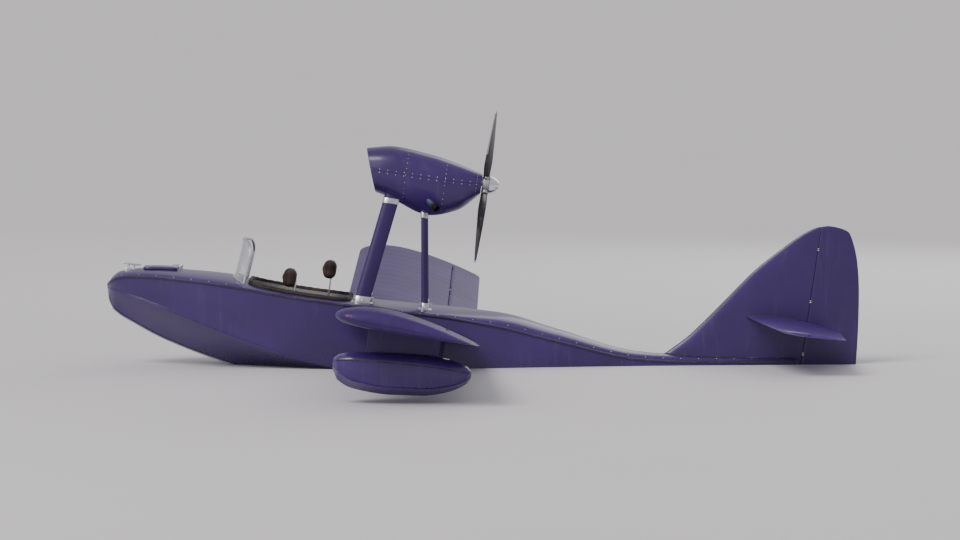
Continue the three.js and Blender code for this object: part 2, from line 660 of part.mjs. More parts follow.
function cowls() {
  const { wall, back, axis } = NACELLE;
  const hollow = nacelleBody(-wall).intersect(lengthOf(ROOM.bow, back - wall));
  const shaftHole = bar([back - 2 * wall, 0, axis], [back + wall, 0, axis], SHAFT.hole);
  const shell = nacelleBody(0).subtract(aheadOfMouth(0)).subtract(hollow).subtract(shaftHole);
  const above = lengthOf(ROOM.bow, ROOM.stern, axis + GAP / 2);
  return { lower: shell.subtract(translated(above, 0, 0, -GAP)), upper: shell.intersect(above) };
}

function engineBlock() {
  const { front, back, half, low, high } = ENGINE;
  const inside = nacelleBody(-NACELLE.wall - GAP);
  const block = box(front, back, -half, half, low, high).intersect(nacelleBody(-NACELLE.wall - CLEAR));
  const feet = [-BEARER.side, BEARER.side].map((y) => box(front + BEARER.inset, back - BEARER.inset,
    y - BEARER.half, y + BEARER.half, BEARER.low, low + BEARER.overlap).intersect(inside));
  return block.add(feet[0]).add(feet[1]);
}

// A raked plate that fills the mouth a little way in, with level slots for the cooling air.
function mouthGrille() {
  const inside = nacelleBody(-NACELLE.wall - GAP);
  const { slots, low, pitch, open, half, from, to } = GRILLE;
  let grille = inside.subtract(aheadOfMouth(from)).intersect(aheadOfMouth(to));
  for (let i = 0; i < slots; i += 1) {
    const z = low + pitch * i;
    grille = grille.subtract(box(ROOM.bow, 0, -half, half, z, z + open));
  }
  return grille;
}

function exhaust() {
  const pipe = bar(EXHAUST.from, EXHAUST.to, EXHAUST.radius);
  return pipe.subtract(nacelleClear).subtract(bar(EXHAUST_BORE.from, EXHAUST_BORE.to, EXHAUST.bore));
}

// Nacelle struts. Columns: name, foot (x, y, z), head (x, y, z), chord, thickness
const STRUTS = [
  ['front', [-608, 330, 440], [-440, 105, 1590], 140, 52],
  ['rear', [-10, 330, 440], [-172, 110, 1560], 62, 44],
];

function strut(foot, head, chord, thick) {
  const ring = ([x, y, z]) => {
    const points = [];
    for (let k = 0; k < 16; k += 1) {
      const angle = rad(22.5 * k);
      const along = Math.cos(angle);
      points.push([x + (chord / 2) * along, y + (thick / 2) * Math.sin(angle) * (1 - 0.25 * along), z]);
    }
    return points;
  };
  return loft([ring(foot), ring(head)], ([x, y]) => [x, y]).subtract(hullClear).subtract(nacelleClear);
}

// Propeller, its axis along x through the origin of its own frame

// Columns: radius, chord, thickness, pitch in degrees
const BLADE_TABLE = [
  [40, 62, 34, 62],
  [120, 78, 26, 56],
  [260, 112, 20, 42],
  [430, 118, 15, 31],
  [600, 102, 11, 24],
  [720, 80, 8, 20],
  [782, 54, 6, 18],
  [PROPELLER.radius, 22, 4, 18],
];

function bladeSolid() {
  const rings = BLADE_TABLE.map(([radius, chord, thick, pitch]) => {
    const ring = [];
    for (let k = 0; k < 12; k += 1) {
      const angle = rad(30 * k);
      const [u, v] = [(chord / 2) * Math.cos(angle), (thick / 2) * Math.sin(angle)];
      const turn = rad(pitch);
      ring.push([u * Math.sin(turn) + v * Math.cos(turn), u * Math.cos(turn) - v * Math.sin(turn), radius]);
    }
    return ring;
  });
  return loft(rings, ([x, y]) => [x, y]);
}

function propellerSolid() {
  const { hub, long, blades } = PROPELLER;
  let whole = bar([-long / 2, 0, 0], [long / 2, 0, 0], hub, hub, 24);
  for (let i = 0; i < blades; i += 1) {
    const turn = new THREE.Matrix4().makeRotationX(rad(30 + (360 * i) / blades));
    whole = whole.add(moved(bladeSolid(), turn));
  }
  return whole;
}

function spinnerSolid() {
  const { hub, spinner } = PROPELLER;
  const profile = [new THREE.Vector2(0, 0)];
  for (let i = 0; i <= 7; i += 1) {
    const t = i / 7;
    profile.push(new THREE.Vector2(i === 7 ? 0 : (hub + 2) * Math.sqrt(1 - t ** 1.7), spinner * t));
  }
  return solid(indexed(new THREE.LatheGeometry(profile, 24).rotateZ(-Math.PI / 2)));
}

// Tail: fin and rudder stand along the surface frame's y, so that frame is turned upright

// Columns: z, leading edge x, trailing edge x, thickness share
const FIN_TABLE = [
  [405, 2187, 3935, 0.064],
  [470, 2254, 3933, 0.067],
  [580, 2366, 3926, 0.07],
  [740, 2496, 3914, 0.072],
  [1000, 2690, 3888, 0.074],
  [1267, 2890, 3852, 0.078],
  [1500, 3110, 3800, 0.084],
  [1672, 3297, 3732, 0.09],
  [1740, 3410, 3686, 0.09],
  [1765, 3500, 3640, 0.07],
];
const RUDDER = { bottom: 462, lugs: [580, 1060, 1540], least: 8 };
const RUDDER_NOSE_ROWS = [RUDDER.bottom, 740, 1060, 1267, 1500, 1640, 1760];

function halfAt(table, z, x) {
  const [nose, tail, thick] = [1, 2, 3].map((column) => sample(table, column, z));
  return thick * foilHalf((x - nose) / (tail - nose)) * (tail - nose);
}

const sectionsOf = (table) => table.map(([y, nose, tail, thick]) => ({ y, nose, tail, thick }));

// Columns: y, leading edge x, trailing edge x, thickness share
const STAB_TABLE = [
  [0, 2873, 3694, 0.085],
  [1330, 3114, 3694, 0.08],
  [1410, 3150, 3682, 0.07],
  [1442, 3200, 3655, 0.055],
  [1450, 3260, 3610, 0.04],
];

function stabSurface(grow) {
  const rows = [...STAB_TABLE.slice(1).reverse().map(([y, ...rest]) => [-y, ...rest]), ...STAB_TABLE];
  return surface(sectionsOf(rows), grow);
}

function stabPieces() {
  const { hinge, inner, half, notch, pin } = TAIL;
  const { radius, past } = TORQUE_TUBE;
  const rows = [inner, STAB_TABLE[1][0], half - 10].map((y) => [y, halfAt(STAB_TABLE, y, hinge)]);
  let fixed = stabSurface(0);
  let moving = bar([hinge, -inner - past, 0], [hinge, inner + past, 0], radius);
  for (const side of [1, -1]) {
    const nose = side > 0 ? rows : rows.map(([y, noseRadius]) => [-y, noseRadius]).reverse();
    const lugs = TAIL.lugs.map((y) => side * y);
    const pieces = parted(fixed, { x: hinge, z: 0, nose, lugs, pin });
    fixed = pieces.fixed;
    moving = moving.add(pieces.moving.subtract(notchWedge(side, notch)));
  }
  fixed = fixed.subtract(box(hinge - 24, ROOM.stern, -inner - CLEAR, inner + CLEAR, -ROOM.side, ROOM.side));
  return { fixed, moving };
}

// The room beside the rudder: a wedge opening aft from the rudder's hinge.
function notchWedge(side, degrees) {
  const start = TAIL.rudder - 30;
  const reach = 500;
  const spread = TAIL.inner + reach * Math.tan(rad(degrees));
  const outline = [[start, -5], [start, TAIL.inner], [start + reach, spread], [start + reach, -5]];
  return prism(side > 0 ? outline : outline.map(([x, y]) => [x, -y]), -200, 200);
}

function tailPieces() {
  const { z, rudder, hinge } = TAIL;
  const nose = RUDDER_NOSE_ROWS.map((y) => [y, Math.max(RUDDER.least, halfAt(FIN_TABLE, y, rudder) || 0)]);
  const split = parted(surface(sectionsOf(FIN_TABLE)), { x: rudder, z: 0, nose, lugs: RUDDER.lugs, pin: TAIL.pin });
  const stabClear = translated(stabSurface(GAP), 0, 0, z);
  const tube = bar([hinge, -TAIL.inner, z], [hinge, TAIL.inner, z], TORQUE_TUBE.hole);
  const stab = stabPieces();
  return {
    fin: moved(split.fixed, upright).subtract(stabClear).subtract(tube).subtract(hullClear)
      .subtract(box(rudder - 60, ROOM.stern, -ROOM.side, ROOM.side, ROOM.low, RUDDER.bottom + 10)),
    rudder: moved(split.moving, upright),
    stabilizer: translated(stab.fixed, 0, 0, z),
    elevator: translated(stab.moving, 0, 0, z),
  };
}

// Columns: z, leading edge x, trailing edge x, thickness share
const WATER_RUDDER_TABLE = [
  [215, 3500, 3700, 0.06],
  [RUDDER.bottom - GAP, 3470, 3750, 0.06],
];

function waterRudder() {
  return moved(surface(sectionsOf(WATER_RUDDER_TABLE)), upright);
}

// A base plate, two posts and the horn across them.
function cleat() {
  const { x, long, wide, corner, thick, root } = CLEAT;
  const { half, up, radius, post, postHigh } = HORN;
  const z = deckAt(x);
  const plate = roundBox(x - long / 2, x + long / 2, -wide / 2, wide / 2, corner, 3);
  let whole = prism(plate, z - root, z + thick);
  for (const at of [x - post, x + post]) {
    whole = whole.add(bar([at, 0, z], [at, 0, z + postHigh], radius, radius - 1, 10));
  }
  return whole.subtract(hullClear).add(bar([x - half, 0, z + up], [x + half, 0, z + up], radius, radius, 12));
}

// Assembly

const craft = new THREE.Group();
craft.rotation.y = rad(TRIM_DEG);

function place(name, piece, finish, at = [0, 0, 0]) {
  const [color, roughness, metalness] = FINISH[finish];
  const material = new THREE.MeshStandardMaterial({ color, roughness, metalness });
  const mesh = new THREE.Mesh(geometryOf(piece), material);
  mesh.name = name;
  mesh.position.set(...at);
  craft.add(mesh);
}

function placePair(name, piece, finish) {
  place(`${name}_right`, piece, finish);
  place(`${name}_left`, mirrored(piece), finish);
}

const hull = hullPieces();
for (const [name, from, to] of HULL_SECTIONS) {
  const section = lengthOf(from + GAP / 2, to - GAP / 2);
  place(`hull_${name}`, hull.lower.intersect(section), 'navy');
  place(`deck_${name}`, hull.deck.intersect(section), 'navy');
}
place('bow_hatch', hatchLid(), 'navy');
place('cockpit_coaming', coamingRing(), 'dark');
place('cockpit_floor', floorBoards(), 'cockpit');
for (const [name, side, x, top, ahead] of SEATS) {
  place(`seat_${name}`, seatSolid(side, x), 'fabric');
  place(`headrest_${name}`, headrest(side, x, top, ahead), 'fabric');
}
place('control_stick', controlStick(), 'dark');
place('rudder_pedals', pedals(), 'metal');
place('instrument_panel', instrumentPanel(), 'dark');
place('windscreen_frame', windscreenFrame(), 'metal');
place('windscreen_glass', windscreenGlass(), 'glass');
place('mooring_cleat', cleat(), 'metal');

const { wing, flap, aileron } = wingPieces();
placePair('wing', wing, 'navy');
placePair('flap', flap, 'navy');
placePair('aileron', aileron, 'navy');
placePair('tip_float', floatBody(0), 'navy');
placePair('float_pylon', floatPylon(), 'navyDark');
for (const [name, foot, head, chord, thick] of STRUTS) {
  placePair(`${name}_strut`, strut(foot, head, chord, thick), 'navyDark');
}

const cowl = cowls();
place('cowl_lower', cowl.lower, 'navy');
place('cowl_upper', cowl.upper, 'navy');
place('mouth_grille', mouthGrille(), 'dark');
place('engine', engineBlock(), 'metal');
placePair('exhaust', exhaust(), 'metal');

const hubAt = [PROPELLER.front + PROPELLER.long / 2, 0, NACELLE.axis];
const shaftLong = PROPELLER.front - ENGINE.back - 2 * GAP;
place('propeller', propellerSolid(), 'blade', hubAt);
place('spinner', spinnerSolid(), 'polished', [PROPELLER.front + PROPELLER.long + GAP, 0, NACELLE.axis]);
const shaftAt = [ENGINE.back + GAP, 0, NACELLE.axis];
place('propeller_shaft', bar([0, 0, 0], [shaftLong, 0, 0], SHAFT.radius), 'metal', shaftAt);

const tail = tailPieces();
place('fin', tail.fin, 'navy');
place('rudder', tail.rudder, 'navy');
place('water_rudder', waterRudder(), 'navyDark');
place('stabilizer', tail.stabilizer, 'navy');
place('elevator', tail.elevator, 'navy');

const floatplane = new THREE.Group();
floatplane.add(craft);

export default floatplane;
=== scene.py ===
"""Dresses a light open-cockpit flying boat that rides on the water with its bow eight degrees up.

Shapes are worked out in the craft's level frame, in metres: x aft, y to starboard, z up, with the origin
on the waterline in the hull's middle plane. Skin.build turns that frame by the trim angle.
"""
import math
from types import SimpleNamespace as Sizes

import bmesh
import bpy
import numpy as np
from bpy.props import FloatProperty, FloatVectorProperty, IntProperty, PointerProperty
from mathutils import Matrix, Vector
from mathutils.bvhtree import BVHTree


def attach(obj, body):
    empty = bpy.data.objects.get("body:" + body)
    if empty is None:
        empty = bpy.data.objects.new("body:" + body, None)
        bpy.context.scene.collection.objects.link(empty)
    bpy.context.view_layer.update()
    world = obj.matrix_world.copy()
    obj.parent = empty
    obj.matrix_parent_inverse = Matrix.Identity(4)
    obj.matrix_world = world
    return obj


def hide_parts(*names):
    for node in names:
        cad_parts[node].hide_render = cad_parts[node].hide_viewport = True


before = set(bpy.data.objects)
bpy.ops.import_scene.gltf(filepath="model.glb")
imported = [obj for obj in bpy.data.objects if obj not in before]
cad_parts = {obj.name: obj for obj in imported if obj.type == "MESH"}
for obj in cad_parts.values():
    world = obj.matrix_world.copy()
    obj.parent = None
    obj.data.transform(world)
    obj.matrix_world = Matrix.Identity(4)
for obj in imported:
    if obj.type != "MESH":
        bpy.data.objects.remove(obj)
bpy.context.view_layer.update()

bl_info = {
    "name": "Flying Boat Dressing",
    "version": (1, 0, 0),
    "blender": (4, 5, 0),
    "location": "View3D > Sidebar > Flying Boat",
    "description": "Builds the skins, fittings, upholstery, finishes and stage of a light flying boat",
    "category": "Add Mesh",
}

MM = 0.001
TAU = 2 * math.pi
PAIR = ((1, "right"), (-1, "left"))
AFT, ACROSS, UP = (1, 0, 0), (0, 1, 0), (0, 0, 1)
CORNERS = [(-1, -1), (-1, 1), (1, -1), (1, 1)]
# Radius of the hinge pins of wing and tail, in metres
WING_PIN, TAIL_PIN = 0.007, 0.005

# Columns: x, keel z, chine half-beam, chine z, gunwale half-beam, gunwale z, deck crown z, in millimetres
FOREBODY = MM * np.array([
    [-2900, 292, 10, 312, 12, 326, 334], [-2875, 196, 80, 300, 90, 362, 398],
    [-2809, 108, 165, 292, 186, 412, 464], [-2600, 12, 292, 262, 318, 462, 522],
    [-2333, -86, 392, 208, 412, 485, 552], [-1835, -206, 490, 90, 500, 498, 574],
    [-1545, -255, 520, 26, 520, 492, 540], [-1090, -296, 545, -52, 530, 478, 516],
    [-358, -326, 555, -124, 512, 482, 530], [200, -337, 550, -158, 455, 486, 558],
])
AFTERBODY = MM * np.array([
    [200, -257, 520, -88, 455, 486, 558], [653, -171, 446, -8, 370, 462, 571],
    [1202, -66, 336, 78, 270, 398, 495], [1922, 71, 212, 166, 165, 330, 396],
    [2600, 200, 128, 262, 104, 392, 452], [3400, 353, 56, 400, 46, 505, 562],
])
TIP_FLOAT = MM * np.array([
    [0, 190, 36, 222, 40, 262, 290], [40, 110, 84, 186, 92, 280, 322], [180, 42, 128, 116, 134, 290, 352],
    [480, 8, 142, 76, 146, 285, 366], [760, 14, 134, 78, 138, 270, 356], [980, 60, 104, 112, 106, 248, 322],
    [1110, 130, 60, 162, 62, 226, 276], [1150, 180, 18, 196, 20, 214, 236],
])
# Columns: x, top z, bottom z, half-width, in millimetres
NACELLE = MM * np.array([[-800, 1868, 1556, 168], [-700, 1896, 1520, 206], [-485, 1934, 1470, 238],
                         [-120, 1900, 1358, 250], [149, 1845, 1440, 196], [330, 1795, 1612, 92]])
# Columns: height or span, leading edge x, trailing edge x, in millimetres, and thickness in thousandths
FIN = MM * np.array([
    [405, 2187, 3935, 64], [470, 2254, 3933, 67], [580, 2366, 3926, 70], [740, 2496, 3914, 72],
    [1000, 2690, 3888, 74], [1267, 2890, 3852, 78], [1500, 3110, 3800, 84], [1672, 3297, 3732, 90],
    [1740, 3410, 3686, 90], [1765, 3500, 3640, 70],
])
STABILIZER = MM * np.array([[0, 2873, 3694, 85], [1330, 3114, 3694, 80], [1410, 3150, 3682, 70],
                            [1442, 3200, 3655, 55], [1450, 3260, 3610, 40]])
# Columns: span in millimetres, chord share and thickness share in thousandths
WING_TIP = MM * np.array([[0, 1000, 1000], [4280, 1000, 1000], [4400, 970, 900], [4470, 900, 700],
                          [4500, 800, 420], [4510, 700, 200]])
# Columns: radius, chord, thickness in millimetres, and pitch in thousandths of a degree
BLADE = MM * np.array([
    [40, 62, 34, 62000], [120, 78, 26, 56000], [260, 112, 20, 42000], [430, 118, 15, 31000],
    [600, 102, 11, 24000], [720, 80, 8, 20000], [782, 54, 6, 18000], [800, 22, 4, 18000],
])
# Turned profiles: pairs of distance along the axis and radius, in millimetres
TURNED = {name: np.reshape(pairs, (-1, 2)) / 1000 for name, pairs in {
    "ring boss": (-1, 0, -1, 12, 2.5, 11, 3, 0),
    "cleat post": (0, 0, 0, 15, 14, 11.5, 26, 9, 40, 8.5, 46, 0),
    "stick button": (0, 0, 0, 5, 5, 5, 6, 0),
    "needle cap": (1, 0, 1, 3.5, 3.2, 3, 3.4, 0),
    "switch": (0, 0, 0, 7, 3, 7, 3, 3, 16, 2.2, 17, 0),
    "knob": (0, 0, 0, 5, 24, 5, 26, 16, 38, 16, 40, 0),
    "bilge cap": (-4, 0, -4, 32, 3, 32, 5, 27, 5, 10, 8, 9, 9, 0),
    "hub": (-31, 0, -31, 70, -28, 78, 28, 78, 31, 74, 31, 0),
    "blade socket": (60, 0, 60, 34, 92, 33, 98, 28, 98, 0),
    "spinner rim": (0.3, 0, 0.3, 78, 1, 80.8, 3.5, 80.8),
}.items()}
# Foot, head, chord, thickness and height of the cowl's underside, for the starboard struts, in metres
STRUTS = {
    "front_strut": ((-0.608, 0.33, 0.44), (-0.44, 0.105, 1.59), 0.14, 0.052, 1.47),
    "rear_strut": ((-0.01, 0.33, 0.44), (-0.172, 0.11, 1.56), 0.062, 0.044, 1.385),
}
# Side, seat bend x, headrest top z and headrest lean ahead of the seat's back, in metres
SEATS = {"left": (-1, -1.33, 0.735, 0.058), "right": (1, -1.03, 0.827, 0.02)}


def sizes(group):
    """One group of the scene's sizes and colours."""
    return getattr(bpy.context.scene, "boat_" + group)


# Arithmetic on arrays

def unit(v):
    """Each vector of an array divided by its own length."""
    return v / np.maximum(np.linalg.norm(v, axis=-1, keepdims=True), 1e-12)


def join(*parts):
    """Numbers and arrays spread to one shape and laid side by side as the last axis."""
    return np.stack(np.broadcast_arrays(*parts), -1)


def shares(count, first=0):
    """Numbers evenly from first to 1."""
    return np.linspace(first, 1, count)


def chain(*parts, axis=0):
    """Arrays joined end to end."""
    return np.concatenate(parts, axis)


def ease(t):
    """Smooth step: 3 t squared less 2 t cubed, with t held between 0 and 1."""
    t = np.clip(t, 0, 1)
    return t * t * (3 - 2 * t)


def spread(*stops):
    """Numbers from stop to stop: (first, last, count) runs joined, each shared end counted once."""
    return chain(*(np.linspace(a, b, n, endpoint=False) for a, b, n in stops), stops[-1][1:2])


def angles(count):
    """Angles evenly round a circle."""
    return TAU * np.arange(count) / count


def sample(table, column, at):
    """A table's column at any place: cubics between the rows, each row's slope the harmonic mean of the
    slopes beside it, or none where they differ in sign; flat beyond the ends."""
    xs, ys = table[:, 0], table[:, column]
    rise = np.diff(ys) / np.diff(xs)
    left, right = rise[:-1], rise[1:]
    both = left + right
    mean = np.where(left * right > 0, 2 * left * right / np.where(both == 0, 1, both), 0)
    slope = chain(rise[:1], mean, rise[-1:])
    at = np.clip(at, xs[0], xs[-1])
    k = np.clip(np.searchsorted(xs, at, side="right") - 1, 0, len(xs) - 2)
    width = xs[k + 1] - xs[k]
    t = (at - xs[k]) / width
    climb = width * (slope[k] * t * (1 - t) ** 2 - slope[k + 1] * t * t * (1 - t))
    return ys[k] + (ys[k + 1] - ys[k]) * ease(t) + climb


def rounded(corners, reach, steps=5):
    """A polyline with each inner corner replaced by a quadratic curve that starts and ends reach away
    from it, or 0.45 of the shorter side. corners is (rows, corners, axes)."""
    before, at, after = corners[:, :-2], corners[:, 1:-1], corners[:, 2:]
    short = np.minimum(np.linalg.norm(before - at, axis=-1), np.linalg.norm(after - at, axis=-1))
    pull = np.minimum(np.asarray(reach), 0.45 * short)[..., None]
    start, end = at + unit(before - at) * pull, at + unit(after - at) * pull
    t = shares(steps)[:, None]
    curve = (1 - t) ** 2 * start[:, :, None] + 2 * t * (1 - t) * at[:, :, None] + t * t * end[:, :, None]
    flat = curve.reshape(len(corners), -1, corners.shape[-1])
    return chain(corners[:, :1], flat, corners[:, -1:], axis=1)


def box_ray(c, s, half_x, half_y, corner):
    """Where the ray of direction (c, s) meets a rectangle with round corners: the nearer side, pulled in
    to the corner's circle by the quadratic for a ray meeting a circle."""
    reach = np.minimum(half_x / np.maximum(abs(c), 1e-9), half_y / np.maximum(abs(s), 1e-9))
    cx, cy = half_x - corner, half_y - corner
    along, square = cx * abs(c) + cy * abs(s), np.maximum(c * c + s * s, 1e-12)
    inside = np.maximum(along ** 2 - (cx * cx + cy * cy - corner ** 2) * square, 0)
    at_corner = (abs(c) * reach > cx) & (abs(s) * reach > cy)
    reach = np.where(at_corner, (along + np.sqrt(inside)) / square, reach)
    return join(c * reach, s * reach)


def rounded_box(half_x, half_y, corner, count=96):
    """Points along a rectangle with round corners, centred on the origin and evenly spread by angle."""
    angle = TAU * (np.arange(count) + 0.5) / count
    return box_ray(np.cos(angle), np.sin(angle), half_x, half_y, corner)


def circle(radius, sides=16, squash=1.0):
    """A ring of a radius in the plane of two axes, the second scaled by squash."""
    return join(radius * np.cos(angles(sides)), radius * squash * np.sin(angles(sides)))


def turn_about(points, axis, degrees):
    """Points turned about a coordinate axis through the origin: 0 about x, 1 about y, 2 about z."""
    c, s = math.cos(math.radians(degrees)), math.sin(math.radians(degrees))
    j, k = (axis + 1) % 3, (axis + 2) % 3
    out = np.array(points, float)
    out[..., j] = points[..., j] * c - points[..., k] * s
    out[..., k] = points[..., j] * s + points[..., k] * c
    return out


def trimmed(points, sign=1):
    """The level frame turned by the trim angle t: x' = x cos t + z sin t, z' = z cos t - x sin t. A sign
    of -1 turns it back."""
    t = sign * sizes("hull").trim
    x, y, z = np.moveaxis(np.asarray(points, float), -1, 0)
    return join(x * math.cos(t) + z * math.sin(t), y, z * math.cos(t) - x * math.sin(t))


def round_to_port(star):
    """A starboard line joined to its mirror image: from its end forward, across, and back to port."""
    return chain(star[::-1], star * [1, -1, 1])


def swept(path, section, up, closed=False):
    """A section carried along a path: at each point the section's first axis lies along up made square
    to the path, and its second along the cross product of path and up."""
    ahead = np.roll(path, -1, 0) - np.roll(path, 1, 0)
    if not closed:
        ahead[0], ahead[-1] = path[1] - path[0], path[-1] - path[-2]
    ahead = unit(ahead)
    up = np.broadcast_to(np.asarray(up, float), path.shape)
    rise = unit(up - (up * ahead).sum(-1, keepdims=True) * ahead)
    side = np.cross(ahead, rise)
    section = np.broadcast_to(section, (len(path),) + section.shape[-2:])
    return path[:, None] + section[..., :1] * rise[:, None] + section[..., 1:] * side[:, None]


# Meshes

class Skin:
    """Gathers grids of points into one closed mesh. A mark is the number of the face's material."""

    def __init__(self):
        self.points, self.faces, self.marks, self.count = [], [], [], 0

    def add(self, points, faces, mark=0):
        points, faces = np.asarray(points, float).reshape(-1, 3), np.asarray(faces).reshape(-1, 4)
        self.points.append(points)
        self.faces.append(faces + self.count)
        self.marks.append(np.broadcast_to(mark, len(faces)))
        self.count += len(points)
        return self

    @staticmethod
    def cells(rows, columns, wrap_rows=False, wrap_columns=False):
        """Corner numbers of each cell of a grid, in order round the cell."""
        index = np.arange(rows * columns).reshape(rows, columns)
        if wrap_rows:
            index = np.vstack([index, index[:1]])
        if wrap_columns:
            index = np.hstack([index, index[:, :1]])
        return np.stack([index[:-1, :-1], index[1:, :-1], index[1:, 1:], index[:-1, 1:]], -1)

    def loft(self, rings, wrap=False, mark=0):
        """A skin through closed rings. A cap joins the points k and n - k of an end ring in pairs, so a
        ring starts on the line about which its section is symmetric. mark may be a number for each cell."""
        rings = np.asarray(rings)
        rows, columns = rings.shape[:2]
        faces = self.cells(rows, columns, wrap, True)
        self.add(rings, faces, np.broadcast_to(mark, faces.shape[:2]).ravel())
        if not wrap:
            k = np.arange(columns // 2)
            pairs = np.stack([k, k + 1, (columns - k - 1) % columns, (columns - k) % columns], -1)
            self.add(rings[0], pairs).add(rings[-1], pairs)
        return self

    def tube(self, path, section, up, mark=0, closed=False):
        """A closed section carried along a path, capped at both ends or closed on itself."""
        return self.loft(swept(np.asarray(path, float), section, up, closed), closed, mark)

    def lathe(self, profile, centre, axis, sides=32, mark=0, soft=0.0):
        """A profile of (distance along the axis, radius) turned about the axis, its corners rounded where
        soft gives their reach. It starts and ends on the axis, or closes on itself."""
        profile = np.asarray(profile, float)
        if soft:
            profile = rounded(profile[None], soft, 4)[0]
        axis = unit(np.asarray(axis, float))
        side = unit(np.cross(axis, [0.3, 1.0, 0.2]))
        turn = angles(sides)[:, None]
        ring = np.cos(turn) * side + np.sin(turn) * np.cross(axis, side)
        grid = np.asarray(centre, float) + profile[:, None, :1] * axis + profile[:, None, 1:] * ring
        return self.add(grid, self.cells(len(profile), sides, bool(profile[0, 1] > 1e-6), True), mark)

    def rod(self, start, end, radius, centre, axis, sides=20, mark=0, soft=0.002):
        """A round bar with soft edges, from start to end along an axis through centre."""
        return self.lathe([[start, 0], [start, radius], [end, radius], [end, 0]], centre, axis, sides, mark, soft)

    def plate(self, top, bottom, keep=None, under_mark=0):
        """Two like grids joined into a slab: the cells that keep leaves, and a wall along their border."""
        cells = self.cells(*top.shape[:2])
        cells = cells.reshape(-1, 4) if keep is None else cells[keep]
        start, end, size = cells.ravel(), np.roll(cells, -1, 1).ravel(), top.shape[0] * top.shape[1]
        border = ~np.isin(start * size + end, end * size + start)
        walls = np.stack([end[border], start[border], start[border] + size, end[border] + size], -1)
        faces = chain(cells, cells[:, ::-1] + size, walls)
        marks = np.where(np.arange(len(faces)) < len(cells), 0, under_mark)
        return self.add(chain(top.reshape(-1, 3), bottom.reshape(-1, 3)), faces, marks)

    def block(self, centre, size, axes=np.eye(3), bevel=0.002, mark=0):
        """A box with rounded long edges: a round-cornered outline at two heights, drawn in at both ends."""
        x, y, z = np.asarray(size, float) / 2
        outline = rounded_box(x, y, min(bevel, x, y), 20)
        inner = rounded_box(x - bevel, y - bevel, bevel * 0.3, 20)
        rings = [join(flat[:, 0], flat[:, 1], height) for flat, height in (
            (inner, -z), (outline, bevel - z), (outline, z - bevel), (inner, z))]
        return self.loft(np.asarray(centre, float) + np.roll(rings, -2, 1) @ np.asarray(axes, float), mark=mark)

    def studs(self, places, normals, radius, height, mark=0):
        """Domed heads: two rings and a crown on each place, along its normal."""
        places = np.asarray(places, float)
        normals = unit(np.broadcast_to(np.asarray(normals, float), places.shape))
        side = unit(np.cross(normals, [0.31, 0.52, 0.79]))
        turn = angles(8)[:, None]
        ring = np.cos(turn) * side[:, None] + np.sin(turn) * np.cross(normals, side)[:, None]
        rows = [(0.02, -height), (1, -height), (1, 0.1 * height), (0.7, 0.7 * height), (0.02, height)]
        grid = np.stack([places[:, None] + radius * r * ring + normals[:, None] * h for r, h in rows], 1)
        cells = self.cells(len(rows), 8, False, True).reshape(-1, 4)
        return self.add(grid, cells[None] + (np.arange(len(places)) * len(rows) * 8)[:, None, None], mark)

    def mirrored(self):
        """Adds the mirror image of all that the skin holds so far."""
        for points, faces, mark in list(zip(self.points, self.faces, self.marks)):
            self.add(points * [1, -1, 1], faces - faces.min(), mark)
        return self

    def placed(self, place):
        """Moves all that the skin holds so far."""
        self.points = [place(points) for points in self.points]
        return self

    def both(self, name, finishes, node="", body="", sharp=38, slot=None):
        """Builds the starboard piece and its mirror image. Each name ends in its side's, and so do the node
        and the body."""
        for side, word in PAIR:
            self.build(f"{name}_{word}", finishes, node and f"{node}_{word}",
                       body and f"{body}_{word}" or "airframe", sharp, slot, side)

    def build(self, name, finishes, replaces="", body="airframe", sharp=38, slot=None, side=1):
        """Makes the mesh, on the port side where side is -1: merges doubled points, turns the faces outwards and
        marks sharp edges. The slot argument is not used."""
        finishes = [finishes] if isinstance(finishes, str) else finishes
        mesh = bpy.data.meshes.new(name)
        mesh.from_pydata(trimmed(chain(*self.points) * [1, side, 1]).tolist(), [], chain(*self.faces).tolist())
        mesh.polygons.foreach_set("material_index", chain(*self.marks).astype(np.int32))
        work = bmesh.new()
        work.from_mesh(mesh)
        bmesh.ops.remove_doubles(work, verts=work.verts, dist=2e-5)
        bmesh.ops.dissolve_degenerate(work, edges=work.edges, dist=1e-6)
        bmesh.ops.recalc_face_normals(work, faces=work.faces)
        work.to_mesh(mesh)
        work.free()
        mesh.shade_smooth()
        mesh.set_sharp_from_angle(angle=math.radians(sharp))
        piece = bpy.data.objects.new(name, mesh)
        bpy.context.scene.collection.objects.link(piece)
        for wanted in finishes:
            mesh.materials.append(finish(wanted))
        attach(piece, body)
        if replaces:
            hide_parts(*replaces.split())
        return piece


def assign(node, name):
    """Gives a carried-over CAD node a finish."""
    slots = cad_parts[node].data.materials
    slots.clear()
    slots.append(finish(name))


# Finishes

def put(socket, value):
    """Links a value or a socket to a socket, or sets what it holds."""
    value = value.socket if isinstance(value, Value) else value
    if isinstance(value, bpy.types.NodeSocket):
        socket.id_data.links.new(value, socket)
    else:
        socket.default_value = value


